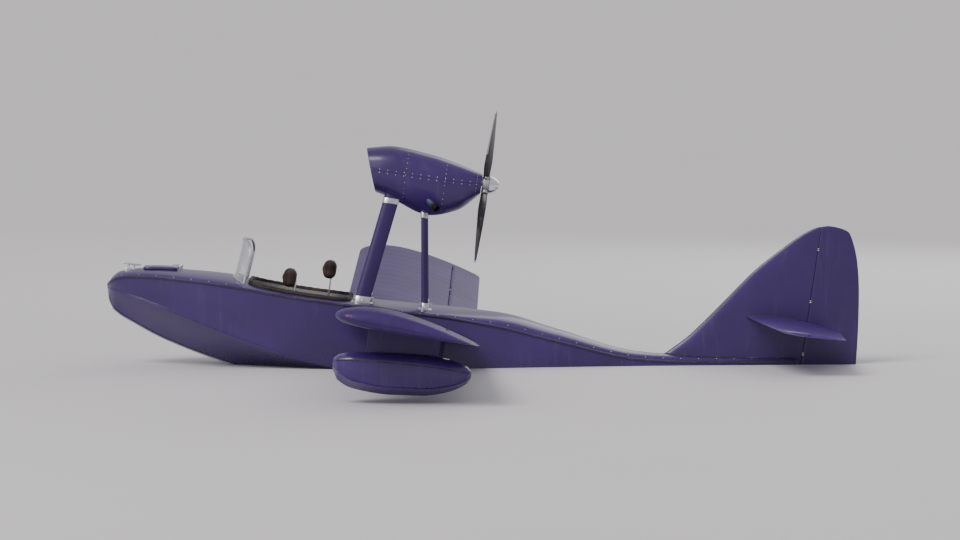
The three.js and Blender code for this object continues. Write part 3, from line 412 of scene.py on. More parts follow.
class Value:
    """A value socket that takes part in arithmetic: each operation adds a Math node to its tree."""

    def __init__(self, socket):
        self.socket = socket

    def math(self, operation, *values):
        node = self.socket.id_data.nodes.new("ShaderNodeMath")
        node.operation = operation
        for socket, value in zip(node.inputs, values):
            put(socket, value)
        return Value(node.outputs[0])

    def __add__(self, other): return self.math("ADD", self, other)
    def __sub__(self, other): return self.math("SUBTRACT", self, other)
    def __mul__(self, other): return self.math("MULTIPLY", self, other)
    def __truediv__(self, other): return self.math("DIVIDE", self, other)
    def __rsub__(self, other): return self.math("SUBTRACT", other, self)
    def __rtruediv__(self, other): return self.math("DIVIDE", other, self)
    __radd__, __rmul__ = __add__, __mul__

    def within(self, low, high):
        """The share of the way from low to high, held between 0 and 1; low may be above high."""
        share = (self - low) / (high - low)
        share = share.math("MAXIMUM", share, 0.0)
        return share.math("MINIMUM", share, 1.0)

    def wave(self, pitch, width):
        """1 in a band of a width about each whole multiple of pitch, 0 between the bands."""
        turn = self / pitch
        part = turn.math("FRACT", turn)
        return (part.math("MINIMUM", part, 1.0 - part) * pitch).within(width, width * 0.4)


class Finish:
    """One material: its Principled shader, its coordinates and one method that adds any other node."""

    def __init__(self, name, **constants):
        self.material = bpy.data.materials.new(name)
        self.material.use_nodes = True
        self.shader = self.material.node_tree.nodes["Principled BSDF"]
        self.place = self.node("TexCoord").outputs["Object"]
        self.set(**constants)

    def node(self, kind, settings=None, **inputs):
        """Adds a node with its settings, a ramp's stops among them, and its sockets' values or links."""
        node = self.material.node_tree.nodes.new("ShaderNode" + kind)
        for key, value in (settings or {}).items():
            if key == "stops":
                while len(node.color_ramp.elements) < len(value):
                    node.color_ramp.elements.new(0.5)
                for element, (at, colour) in zip(node.color_ramp.elements, value):
                    element.position, element.color = at, (*colour, 1.0)
            else:
                setattr(node, key, value)
        for key, value in inputs.items():
            put(node.inputs[key.replace("_", " ")], value)
        return node

    def set(self, **sockets):
        for key, value in sockets.items():
            put(self.shader.inputs[key.replace("_", " ")], value)
        return self.material

    def axes(self):
        """Object X, Y and Z as values."""
        return [Value(socket) for socket in self.node("SeparateXYZ", Vector=self.place).outputs]

    def stretched(self, scale=(1, 1, 1), turn=(0, 0, 0)):
        return self.node("Mapping", Vector=self.place, Scale=scale, Rotation=turn).outputs[0]

    def noise(self, scale, detail=3.0, roughness=0.5, vector=None, distortion=0.0):
        return Value(self.node("TexNoise", Vector=vector or self.place, Scale=scale, Detail=detail,
                               Roughness=roughness, Distortion=distortion).outputs[0])

    def cells(self, scale, vector=None, feature="F1"):
        return Value(self.node("TexVoronoi", {"feature": feature}, Vector=vector or self.place,
                               Scale=scale).outputs[0])

    def lines(self, scale, stretch, turn):
        """Thin lines where cells meet, drawn out along one way."""
        return self.cells(scale, self.stretched(stretch, turn), "DISTANCE_TO_EDGE")

    def mix(self, factor, a, b):
        """A colour between a and b; either may be a socket or a plain colour."""
        node = self.node("Mix", {"data_type": "RGBA"})
        for socket, value in zip((node.inputs[0], node.inputs[6], node.inputs[7]), (factor, a, b)):
            put(socket, (*value[:3], 1.0) if isinstance(value, tuple) else value)
        return node.outputs[2]

    def bump(self, height, distance, strength=0.7):
        bump = self.node("Bump", Height=height, Distance=distance, Strength=strength)
        self.set(Normal=bump.outputs[0])


def shade(colour, factor):
    return tuple(min(1.0, c * factor) for c in colour[:3])


def paint(name, colour, gloss, ribs=0.0, ply=0.0):
    """Old enamel: broad fading, dried salt runs below edges, fine orange peel, and tape over each rib
    where ribs gives their pitch along the span."""
    f = Finish(name, Coat_Weight=0.3 * gloss, Coat_Roughness=0.12, Specular_IOR_Level=0.2 + 0.2 * gloss)
    x, y, z = f.axes()
    broad = f.noise(1.4, 4.0, 0.55)
    fine = f.noise(38.0, 5.0, 0.6)
    runs = f.noise(5.0, 4.0, 0.6, f.stretched((3.2, 3.2, 0.35))).within(0.56, 0.74)
    salt = f.noise(160.0, 3.0, 0.7).within(0.6, 0.72) * runs
    # Darker and a little glossier lower down, from 0.3 m above the waterline to 0.05 m below it, the edge wavering
    low_band = (z + (broad - 0.5) * 0.3).within(0.3, -0.05)
    faded = f.mix(broad.within(0.35, 0.7), shade(colour, 0.85), shade(colour, 1.2))
    streaked = f.mix(runs * 0.05 + salt * 0.1, faded, (0.34, 0.32, 0.38))
    darkened_low = f.mix(low_band * 0.4, streaked, shade(colour, 0.6))
    scratches = f.lines(9.0, (1.0, 6.0, 9.0), (0.3, 0.1, 0.5)).within(0.012, 0.0)
    worn = f.mix(scratches * fine.within(0.5, 0.68) * 0.35, darkened_low, shade(colour, 2.0))
    rough = 0.52 - 0.26 * gloss + fine * 0.1 + runs * 0.08 + salt * 0.2 - low_band * 0.06
    height = f.noise(420.0, 2.0, 0.5) * 0.25 + f.noise(7.0, 2.0, 0.5) * 1.6
    if ribs:
        height = height + y.wave(ribs, 0.016) * 0.8
        worn = f.mix(y.wave(ribs, 0.019) * 0.12, worn, shade(colour, 1.5))
    if ply:
        height = height + f.noise(24.0, 5.0, 0.65, f.stretched((0.12, 1.0, 1.0))) * ply
    f.bump(height, 0.0005, 0.6)
    return f.set(Base_Color=worn, Roughness=rough)


def metal(name, colour, roughness, brushed=0.0, along=(1, 1, 1)):
    """Bare metal: fine lines along its length, dull patches and pitted spots."""
    f = Finish(name, Metallic=1.0)
    lines = f.noise(140.0, 3.0, 0.6, f.stretched(along))
    patches = f.noise(11.0, 4.0, 0.6)
    pits = f.cells(260.0).within(0.16, 0.05) * patches.within(0.5, 0.7)
    tone = f.mix(patches.within(0.3, 0.75), shade(colour, 0.78), colour)
    f.bump(lines * brushed + pits * -0.6, 0.00025)
    return f.set(Base_Color=f.mix(pits, tone, shade(colour, 0.35)),
                 Roughness=roughness + patches * 0.14 + lines * 0.08 * brushed)


def leather(name, colour):
    """Tanned hide: a cell grain with fine creases, lighter where it is rubbed, darker in the hollows."""
    f = Finish(name, Specular_IOR_Level=0.4)
    grain = f.cells(330.0, feature="DISTANCE_TO_EDGE").within(0.0, 0.16)
    crease = f.noise(26.0, 5.0, 0.65, distortion=1.2)
    rubbed = f.noise(6.0, 3.0, 0.5).within(0.45, 0.72)
    tone = f.mix(rubbed, shade(colour, 0.7), shade(colour, 1.7))
    tone = f.mix((1 - grain) * 0.6, tone, shade(colour, 0.4))
    f.bump(grain * 0.8 + crease * 1.6, 0.0006, 0.8)
    return f.set(Base_Color=tone, Roughness=0.62 - rubbed * 0.18 + crease * 0.1)


def wood(name, colour):
    """Varnished boards: grain lines drawn out along x, each board's own tone, dark pores, worn varnish."""
    f = Finish(name, Coat_Weight=0.35, Coat_Roughness=0.2)
    x, y, z = f.axes()
    across = y / sizes("cockpit").plank
    board = across.math("FLOOR", across)
    drawn = f.node("CombineXYZ", X=x * 0.9 + board * 3.7, Y=y * 22.0, Z=z * 5.0).outputs[0]
    grain = f.noise(3.0, 6.0, 0.6, drawn, 1.4)
    pores = f.noise(60.0, 2.0, 0.7, f.stretched((0.06, 1.0, 1.0)))
    own = board.math("SINE", board * 12.9898) * 0.5 + 0.5
    tone = f.mix(grain.within(0.32, 0.68), shade(colour, 0.55), shade(colour, 1.25))
    tone = f.mix(own * 0.4, tone, shade(colour, 0.8))
    tone = f.mix(pores.within(0.58, 0.72) * 0.5, tone, shade(colour, 0.3))
    f.bump(grain * 0.5 + pores * 0.6, 0.0004, 0.6)
    return f.set(Base_Color=tone, Roughness=0.34 + grain * 0.2 + f.noise(9.0) * 0.12)


def moulded(name, colour, roughness, pebble=900.0, depth=0.4):
    """Moulded or crackled plastic and rubber: fine pebbles, dust in broad patches."""
    f = Finish(name)
    pebbles = f.cells(pebble)
    dust = f.noise(12.0, 4.0, 0.6).within(0.52, 0.78)
    f.bump(pebbles * depth + f.noise(60.0) * 0.5, 0.0003)
    return f.set(Base_Color=f.mix(dust * 0.25, colour, (0.32, 0.31, 0.3)), Roughness=roughness + dust * 0.15)


def heated(name, colour):
    """Steel blued and browned by heat: tints change outwards, with soot at the open end."""
    f = Finish(name, Metallic=1.0)
    x, y, z = f.axes()
    at = (y.math("ABSOLUTE", y) + f.noise(14.0) * 0.03).within(0.16, 0.31)
    tint = f.node("ValToRGB", {"stops": [(0.0, shade(colour, 0.9)), (0.35, (0.3, 0.2, 0.11)),
                                         (0.55, (0.13, 0.1, 0.2)), (0.75, (0.1, 0.13, 0.22)),
                                         (1.0, (0.025, 0.022, 0.02))]}, Fac=at).outputs[0]
    spots = f.cells(180.0).within(0.2, 0.05) * f.noise(20.0).within(0.45, 0.7)
    f.bump(f.noise(90.0, 4.0) * 0.8 + spots, 0.0004)
    return f.set(Base_Color=f.mix(spots * 0.7, tint, (0.16, 0.07, 0.03)), Roughness=0.34 + at * 0.35)


def clear(name, colour):
    """Clear cast sheet with fine hairlines."""
    f = Finish(name, Transmission_Weight=1.0, IOR=1.46, Base_Color=(*colour, 1.0))
    hair = f.lines(30.0, (1.0, 5.0, 1.5), (0.4, 0.2, 0.1)).within(0.01, 0.0)
    return f.set(Roughness=0.03 + hair * 0.12 * f.noise(8.0).within(0.4, 0.6))


def lamp(name, colour):
    """A ribbed coloured lens, its colour mottled darker."""
    f = Finish(name, Coat_Weight=1.0, Coat_Roughness=0.03, Specular_IOR_Level=0.6, Roughness=0.08)
    x, y, z = f.axes()
    f.bump(z.wave(0.006, 0.003) + x.wave(0.006, 0.003), 0.0006, 0.6)
    return f.set(Base_Color=f.mix(f.noise(30.0), shade(colour, 0.7), colour))


# Slot, recipe, its colour or a colour of the panel with its shade, and the recipe's other values
FINISHES = {
    "hull paint": ("hull_paint", paint, ("paint", 1), 1.0, 0.0, 0.9),
    "wing paint": ("wing_paint", paint, ("paint", 1), 0.3, 0.29),
    "tail paint": ("tail_paint", paint, ("paint", 1), 0.85, 0.0, 0.4),
    # The stabilizer's paint is the paint's colour times 1.6, a painted highlight for sunlight on its top
    "stabilizer paint": ("tail_paint", paint, ("paint", 1.6), 1.0, 0.0, 0.4),
    "cowl paint": ("cowl_paint", paint, ("paint", 1), 1.0),
    # The floats' paint is the paint's colour times 1.12, painted lighter to offset the shade under the wing
    "float paint": ("float_paint", paint, ("paint", 1.12), 1.0, 0.0, 0.5),
    "strut paint": ("strut_paint", paint, ("paint", 0.8), 0.5),
    "cockpit paint": ("hull_paint", paint, ("cockpit", 1), 0.1, 0.0, 0.5),
    "bright alloy": ("bare_metal", metal, ("alloy", 1), 0.22, 1.0, (0.3, 1, 1)),
    "dull alloy": ("bare_metal", metal, ("alloy", 0.62), 0.38, 0.6),
    "polished dome": ("spinner_chrome", metal, ("polish", 1), 0.05, 0.25, (1, 0.2, 0.2)),
    "cast iron": ("bare_metal", metal, (0.18, 0.18, 0.19), 0.55, 0.2),
    "heated steel": ("exhaust_steel", heated, ("alloy", 0.7)),
    "dark blade": ("blade_black", moulded, ("blade", 1), 0.32, 500.0, 0.15),
    "black rubber": ("black_parts", moulded, (0.022, 0.022, 0.024), 0.62),
    "black crackle": ("panel_black", moulded, (0.03, 0.03, 0.032), 0.5, 420.0, 1.0),
    "dial face": ("panel_black", moulded, (0.012, 0.012, 0.014), 0.45),
    "dial marks": ("panel_black", moulded, (0.72, 0.72, 0.66), 0.5),
    "coaming hide": ("coaming_trim", leather, ("hide", 0.75)),
    "seat hide": ("seat_cloth", leather, ("hide", 1)),
    "thread": ("coaming_trim", moulded, (0.3, 0.26, 0.2), 0.8, 1600.0, 0.8),
    "boards": ("floor_boards", wood, ("wood", 1)),
    "clear sheet": ("clear_screen", clear, (0.94, 0.97, 0.98)),
    "red lens": ("black_parts", lamp, (0.42, 0.015, 0.012)),
    "green lens": ("black_parts", lamp, (0.012, 0.26, 0.08)),
}


def finish(name):
    """The material of that name, made the first time it is asked for."""
    _, recipe, colour, *values = FINISHES[name]
    if isinstance(colour[0], str):
        colour = shade(getattr(sizes("colours"), colour[0]), colour[1])
    return bpy.data.materials.get(name) or recipe(name, colour, *values)


# Sizes

def length(name, description, default):
    return FloatProperty(name=name, description=description, default=default, unit="LENGTH", min=0)


def spot(name, description, default):
    return FloatProperty(name=name, description=description, default=default, unit="LENGTH")


def slope(name, description, degrees):
    return FloatProperty(name=name, description=description, default=math.radians(degrees), unit="ROTATION")


def number(name, description, default, **more):
    return FloatProperty(name=name, description=description, default=default, min=0, **more)


def colour(name, description, default):
    return FloatVectorProperty(name=name, description=description, default=default, subtype="COLOR", min=0, max=1)


class HullSizes(bpy.types.PropertyGroup):
    trim: slope("Trim", "How far the bow stands up from level", 8)
    wall: length("Side thickness", "Thickness of the hull's side beside the cockpit", 0.045)
    sole: length("Bottom thickness", "Height of the inside bottom above the keel", 0.06)
    deck: length("Deck thickness", "Thickness of the deck moulding", 0.028)
    lip: length("Chine lip", "Width of the spray lip along the chine", 0.016)
    rail: length("Rail width", "How far the rub rail stands out from the gunwale", 0.009)
    stud_pitch: length("Fastener pitch", "Distance between fasteners along the rail", 0.16)


class CockpitSizes(bpy.types.PropertyGroup):
    plank: length("Board width", "Width of one floor board", 0.096)
    roll_wide: length("Coaming width", "Width of the padded roll round the cockpit", 0.034)
    roll_high: length("Coaming height", "Height of the padded roll above the deck", 0.03)
    stitch: length("Stitch pitch", "Distance between stitches", 0.011)
    pressure: number("Cushion pressure", "Air pressure inside a cushion as it is stuffed", 3.2)
    swell: length("Cushion swell", "The most that a point of a cushion may move as it is stuffed", 0.014)


class WingSizes(bpy.types.PropertyGroup):
    nose: spot("Leading edge", "Place of the leading edge along x", -0.746)
    chord: length("Chord", "Distance from the leading to the trailing edge", 1.218)
    root: length("Root height", "Height of the wing's own middle line at the hull's middle plane", 0.308)
    dihedral: slope("Dihedral", "How far each wing rises outwards", 4.1)
    incidence: slope("Incidence", "Nose-up setting of the wing on the hull", 4.5)
    thick: number("Thickness", "Share of the chord", 0.15, max=0.3)
    camber: number("Camber", "Crown of the middle line, share of the chord", 0.03)
    hinge: spot("Hinge line", "Place of the flap and aileron hinges along x", 0.205)
    rib: length("Rib pitch", "Distance between ribs along the span", 0.29)
    sag: length("Fabric sag", "How far the covering sinks between two ribs", 0.0022)


class NacelleSizes(bpy.types.PropertyGroup):
    wall: length("Wall", "Thickness of the cowl", 0.014)
    axis: length("Shaft height", "Height of the propeller shaft", 1.705)
    mouth: spot("Mouth", "Place of the mouth along x, at the shaft's height", -0.674)
    rake: slope("Mouth rake", "How far the mouth leans from upright", 19)
    back: spot("Back", "Place of the cowl's back along x", 0.33)
    slats: IntProperty(name="Slats", description="Number of slats in the mouth", default=9, min=3, max=20)


class Colours(bpy.types.PropertyGroup):
    paint: colour("Paint", "Enamel of the hull, wing and tail", (0.04, 0.017, 0.116))
    cockpit: colour("Cockpit paint", "Inside of the hull", (0.2, 0.2, 0.21))
    alloy: colour("Alloy", "Bare light alloy", (0.74, 0.75, 0.77))
    polish: colour("Polished dome", "Spinner", (0.92, 0.91, 0.92))
    blade: colour("Blade", "Propeller blades", (0.022, 0.02, 0.024))
    hide: colour("Hide", "Leather of the seats", (0.045, 0.026, 0.022))
    wood: colour("Wood", "Varnished floor boards", (0.36, 0.2, 0.09))


class StageSizes(bpy.types.PropertyGroup):
    floor: length("Floor reach", "Half the width of the floor at the waterline", 600.0)
    distance: length("Camera distance", "From the craft's middle to the camera", 46.0)
    elevation: slope("Camera elevation", "Height of the camera as an angle", 3.7)
    lens: number("Lens", "Focal length in millimetres", 190.0, unit="CAMERA")
    aim: FloatVectorProperty(name="Aim", description="Point that the camera looks at", subtype="XYZ",
                             unit="LENGTH", default=(0.55, 0.0, 0.86))


# Hull and deck

COCKPIT = Sizes(front=-1.6, back=-0.72, half=0.4, corner=0.14, floor=-0.1)
HATCH = Sizes(front=-2.6, back=-2.29, half=0.15, corner=0.05, rim=0.028, thick=0.022)
HATCH_PIN = (-2.268, 0.0, float(sample(FOREBODY, 6, -2.29)) + 0.032)
STEP = 0.2


def lines(x, table=None):
    """Keel z, chine y and z, gunwale y and z, and crown z at each x, of a table or else of the hull."""
    if table is None:
        return [np.where(x <= STEP, a, b) for a, b in zip(lines(x, FOREBODY), lines(x, AFTERBODY))]
    return [sample(table, column, x) for column in range(1, 7)]


def outside(table, x):
    """Half the outside of a section, keel to gunwale: a flat V bottom, the chine's lip and a bowed side,
    with rounded corners."""
    keel, chine_y, chine_z, gun_y, gun_z, _ = lines(x, table)
    lip = np.minimum(sizes("hull").lip, chine_y * 0.12)
    side_y = (chine_y + gun_y) / 2 - lip * 0.4 + np.minimum(0.008, chine_y * 0.08)
    corners = [join(0, keel), join(chine_y * 0.5, (keel + chine_z) / 2 + lip * 0.15), join(chine_y, chine_z),
               join(chine_y - lip, chine_z + lip * 0.8), join(side_y, (chine_z + gun_z) / 2), join(gun_y, gun_z)]
    return rounded(np.stack(corners, 1), join(0.2, lip * 0.3, lip * 0.3, 0.12))


def inside(x, count, deep):
    """Half the inner face, gunwale to middle: inset from the outside by the wall and sole where deep is 1,
    or a shallow line under the deck where it is 0."""
    hull = sizes("hull")
    keel, chine_y, chine_z, gun_y, gun_z, _ = lines(x)
    if deep:
        corners = [join(gun_y - hull.wall, gun_z - 0.006),
                   join((chine_y + gun_y) / 2 + 0.008 - hull.wall, (chine_z + gun_z) / 2),
                   join(chine_y - hull.wall, chine_z + hull.sole * 0.5), join(0, keel + hull.sole)]
        line = rounded(np.stack(corners, 1), 0.05, (count - 2) // 2)
        return chain(line, np.repeat(line[:, -1:], count - line.shape[1], 1), axis=1)
    y = np.maximum(gun_y - np.minimum(hull.wall, gun_y * 0.3), 0)[:, None] * np.linspace(1, 0, count)
    return join(y, (gun_z - np.minimum(0.006, gun_y * 0.1))[:, None])


def ring_of(half_out, half_in, x):
    """A closed section from half its outside and half its inside, the other half mirrored."""
    half = chain(half_out, half_in, axis=1)
    ring = chain(half, half[:, -2:0:-1] * [-1, 1], axis=1)
    return join(x[:, None], ring[..., 0], ring[..., 1])


def end_ring(ring, step, wide, centre, tall):
    """A section moved along by step, its breadth and its height about a centre drawn in by shares."""
    ring = ring * [1, wide, 1] + [step, 0, 0]
    ring[..., 2] = centre + (ring[..., 2] - centre) * tall
    return ring


class BOAT_OT_hull(bpy.types.Operator):
    """The lower moulding: one closed skin through sections, stepped below and hollow at the cockpit"""
    bl_idname = "boat.hull"
    bl_label = "Hull"

    def execute(self, context):
        count = 26
        bow = spread((-2.9, -2.895, 3), (-2.895, -2.86, 10), (-2.86, -2.7, 14), (-2.7, -2.2, 18))
        well = spread((-2.2, -0.72, 48))
        rings = chain(*(ring_of(outside(table, x), inside(x, count, deep), x) for x, table, deep in (
            (bow, FOREBODY, 0), (well, FOREBODY, 1), (spread((-0.72, STEP, 28)), FOREBODY, 0),
            (spread((STEP, 3.398, 96)), AFTERBODY, 0))))
        rings = chain(end_ring(rings[:1], -0.004, 0.5, 0.312, 0.6), rings,
                      end_ring(rings[-1:], 0.004, 0.96, rings[-1][:, 2].mean(), 0.97))
        outer = rings.shape[1] // 2 + 1 - count
        marks = np.zeros((len(rings) - 1, rings.shape[1]), int)
        marks[len(bow):1 + len(bow) + len(well), outer:-outer] = 1
        Skin().loft(rings, mark=marks).build(
            "hull_skin", ["hull paint", "cockpit paint"], "hull_bow hull_middle hull_stern", sharp=42)
        shoe, front = Skin(), spread((-2.83, -2.5, 14), (-2.5, 0.19, 40))
        for table, x in (FOREBODY, front), (AFTERBODY, spread((0.24, 3.36, 50))):
            shoe.tube(join(x, 0, sample(table, 1, x)), rounded_box(0.007, 0.015, 0.005, 16), UP)
        shoe.build("keel_shoe", "dull alloy")
        return {"FINISHED"}


def deck_height(x, y):
    """The deck's top: gunwale z plus the crown's rise times the square root of 1 less (y over half-beam)
    squared."""
    _, _, _, gun_y, gun_z, crown = lines(x)
    return gun_z + (crown - gun_z) * np.sqrt(np.clip(1 - (y / gun_y) ** 2, 0, 1))


def on_deck(x, y, above=0.0):
    """Points on the deck, or above it."""
    return join(x, y, deck_height(x, y) + above)


def deck_normal(x, y):
    """The deck's unit normal, from central differences."""
    d = 0.004
    slope_x = (deck_height(x + d, y) - deck_height(x - d, y)) / (2 * d)
    slope_y = (deck_height(x, y + d) - deck_height(x, y - d)) / (2 * d)
    return unit(join(-slope_x, -slope_y, 1))


def round_off(x, y, front, back, half, corner):
    """Pulls the points about a rectangular hole onto its round-cornered outline. Each moves along its ray
    from the hole's middle, by the outline's own share there, fading out a quarter beyond the hole."""
    cx, hx = (front + back) / 2, (back - front) / 2
    dx, dy = x - cx, y
    far = np.maximum(abs(dx) / hx, abs(dy) / half)
    scale = 1 / np.maximum(far, 1e-6)
    edge = box_ray(dx * scale, dy * scale, hx, half, corner)
    share = np.hypot(edge[..., 0], edge[..., 1]) / np.maximum(np.hypot(dx * scale, dy * scale), 1e-6)
    pull = 1 - (1 - share) * ease((1.25 - far) / 0.25)
    return cx + dx * pull, dy * pull


class BOAT_OT_deck(bpy.types.Operator):
    """The deck: a crowned slab whose grid bends round the cockpit and the bow hatch, and its rub rail"""
    bl_idname = "boat.deck"
    bl_label = "Deck"

    def execute(self, context):
        hull = sizes("hull")
        rim, front, back = HATCH.rim, COCKPIT.front, COCKPIT.back
        holes = [(front, back, COCKPIT.half, COCKPIT.corner),
                 (HATCH.front + rim, HATCH.back - rim, HATCH.half - rim, HATCH.corner - rim + 0.004)]
        x = spread((-2.9, -2.86, 10), (-2.86, holes[1][0], 16), (holes[1][0], holes[1][1], 14),
                   (holes[1][1], front, 30), (front, back, 36), (back, 0.0, 24), (0.0, 3.4, 80))
        gun_y = lines(x)[3]
        inner = 0.122 + (COCKPIT.half - 0.122) * ease((x + 2.28) / 0.55)
        inner = np.minimum(inner, gun_y * (0.62 + 0.2 * ease((x + 2.6) / 0.9)))
        inner = np.where(x > back + 0.1, np.minimum(inner, gun_y * 0.76), inner)
        across, beside = 24, 9
        angle = np.arccos(np.clip(inner / gun_y, 0, 1))[:, None] * np.linspace(0, 1, beside, endpoint=False)
        side = gun_y[:, None] * np.cos(angle)
        y = chain(side, inner[:, None] * np.linspace(1, -1, across + 1), -side[:, ::-1], axis=1)
        x = np.broadcast_to(x[:, None], y.shape)
        keep = np.ones((x.shape[0] - 1, x.shape[1] - 1), bool)
        for hole in holes:
            rows = (x[:-1, 0] > hole[0] - 1e-6) & (x[1:, 0] < hole[1] + 1e-6)
            keep[rows, beside:beside + across] = False
            x, y = round_off(x, y, *hole)
        top = on_deck(x, y)
        under = join(x, y * 0.96, top[..., 2] - hull.deck * np.clip(lines(x)[3] / 0.2, 0.15, 1))
        Skin().plate(top, under, keep, 1).build(
            "deck_skin", ["hull paint", "cockpit paint"], "deck_bow deck_middle deck_stern", sharp=40)

        run = spread((3.385, 0.2, 70), (0.2, -2.6, 80), (-2.6, -2.86, 22), (-2.86, -2.898, 12))
        _, _, _, rail_y, rail_z, _ = lines(run)
        path = round_to_port(join(run, rail_y, rail_z + 0.001)[::-1])
        shape = rounded_box(0.013, (hull.rail + 0.006) / 2, 0.006, 16) + [0, (hull.rail - 0.006) / 2]
        Skin().tube(path, shape, UP).build("rub_rail", "cowl paint", slot="hull_paint")
        Skin().tube(path, circle(0.0052, 10) + [0, hull.rail - 0.001], UP).build("rail_insert", "black rubber")
        at, studs = np.arange(-2.78, 3.35, hull.stud_pitch), Skin()
        for y in (lines(at)[3] - 0.018) * [[1], [-1]]:
            studs.studs(on_deck(at, y), deck_normal(at, y), 0.0045, 0.0015)
        studs.build("deck_fasteners", "bright alloy", sharp=60)
        return {"FINISHED"}


class BOAT_OT_hatch(bpy.types.Operator):
    """The bow hatch: a crowned lid on two hinge arms, its lift ring, and the lugs on the deck"""
    bl_idname = "boat.hatch"
    bl_label = "Bow hatch"

    def execute(self, context):
        thick = HATCH.thick
        # Share of the outline, height over the deck
        rows = [(0.02, 0.002), (0.5, 0.002), (0.93, 0.002), (0.985, 0.002), (1.0, 0.005), (1.0, 0.012),
                (0.994, 0.018), (0.975, 0.0212), (0.94, thick), (0.9, thick - 0.0018), (0.87, thick - 0.0018),
                (0.84, thick), (0.6, thick + 0.001), (0.3, thick + 0.0015), (0.02, thick + 0.0015)]
        cx = (HATCH.front + HATCH.back) / 2
        outline = rounded_box((HATCH.back - HATCH.front) / 2, HATCH.half, HATCH.corner)
        lid = Skin().loft([on_deck(cx + outline[:, 0] * share, outline[:, 1] * share, up) for share, up in rows])
        px, _, pz = HATCH_PIN
        sections = rounded_box(1.0, 1.0, 0.4, 16) * join([0.0052, 0.006, 0.005, 0.003], 0.0065)[:, None]
        for y in (0.11, -0.11):
            arm = join(px - np.array([-0.001, 0.02, 0.048, 0.085]), y, pz + np.array([0, 0.001, -0.004, -0.0115]))
            lid.tube(arm, sections, UP, mark=1)
        lid.rod(-0.12, 0.12, 0.0045, HATCH_PIN, ACROSS, 16, 1, 0.0015)
        x, z = HATCH.front + 0.055, deck_height(HATCH.front + 0.055, 0.0) + thick
        ring = circle(0.016, 24, 1.25)
        lid.tube(join(x + ring[:, 0], ring[:, 1], z + 0.0035), circle(0.0022, 8), UP, 1, closed=True)
        lid.lathe(TURNED["ring boss"], (x + 0.016, 0, z), UP, 24, 1, 0.001)
        lid.build("hatch_lid", ["cowl paint", "bright alloy"], "bow_hatch", "bow_hatch", slot="hull_paint")
        arc = np.radians(np.linspace(-90, 90, 13))
        lugs = Skin()
        outline = chain(0.013 * join(np.sin(arc), np.cos(arc)), [[0.013, -0.03], [0, -0.03], [-0.013, -0.03]])
        for y in (-0.09, 0.09):
            rings = [join(px + outline[:, 0] * share, y + dy, pz + outline[:, 1] * share)
                     for dy, share in ((-0.0065, 0.85), (-0.005, 1), (0.005, 1), (0.0065, 0.85))]
            lugs.loft(np.roll(rings, -6, 1))
            foot = on_deck(px, y)
            lugs.block(foot + [0, 0, 0.001], (0.052, 0.03, 0.006))
            lugs.studs(foot + np.array([[-0.019, 0, 0.0042], [0.019, 0, 0.0042]]), UP, 0.0035, 0.0015)
        lugs.build("hatch_lugs", "bright alloy")
        return {"FINISHED"}


class BOAT_OT_cleat(bpy.types.Operator):
    """The mooring cleat: a base plate, two posts and a horn whose ends taper"""
    bl_idname = "boat.cleat"
    bl_label = "Mooring cleat"

    def execute(self, context):
        foot, outline = on_deck(-2.715, 0.0), rounded_box(0.06, 0.022, 0.012, 48)
        rows = [(0.02, -0.03), (1, -0.03), (1, 0.007), (0.96, 0.0105), (0.9, 0.012), (0.02, 0.0125)]
        cleat = Skin().loft([foot + join(outline[:, 0] * share, outline[:, 1] * share, up) for share, up in rows])
        for dx in (-0.026, 0.026):
            cleat.lathe(TURNED["cleat post"], foot + [dx, 0, 0], UP, 20)
        t = shares(31, -1)
        thin = 0.0092 * np.sqrt(np.clip(1 - abs(t) ** 5, 0.03, 1)) * (1 - 0.25 * t * t)
        cleat.tube(foot + join(0.09 * t, 0, 0.046 + 0.004 * t ** 4), circle(1, 14) * thin[:, None, None], UP)
        corners = [(sx * 0.047, sy * 0.01, 0.0125) for sx, sy in CORNERS]
        cleat.studs(foot + corners, UP, 0.0045, 0.0018).build("deck_cleat", "bright alloy", "mooring_cleat")
        return {"FINISHED"}


# Cockpit

SEAT_INBOARD = 0.044


def inner_width(x, z):
    """Half-breadth inside the hull: up the V of the inside bottom, then along the wall."""
    hull = sizes("hull")
    keel, chine_y, chine_z, gun_y, gun_z, _ = lines(x)
    low, knee = keel + hull.sole, chine_z + hull.sole * 0.5
    on_bottom = (chine_y - hull.wall) * (z - low) / (knee - low)
    on_wall = chine_y + (gun_y - chine_y) * (z - knee) / (gun_z - knee) - hull.wall
    return np.maximum(np.where(z < knee, on_bottom, on_wall), 0)


def fitted(points, side, clear):
    """Points of a seat drawn towards its inboard edge, in proportion, until the outermost stands clear
    of the hull's inside at its own height."""
    x, y, z = np.moveaxis(points, -1, 0)
    out = side * y - SEAT_INBOARD
    share = np.clip((inner_width(x, z) - clear - SEAT_INBOARD) / out.max(), 0.02, 1)
    return join(x, side * (SEAT_INBOARD + np.where(out > 0, out * share, out)), z)


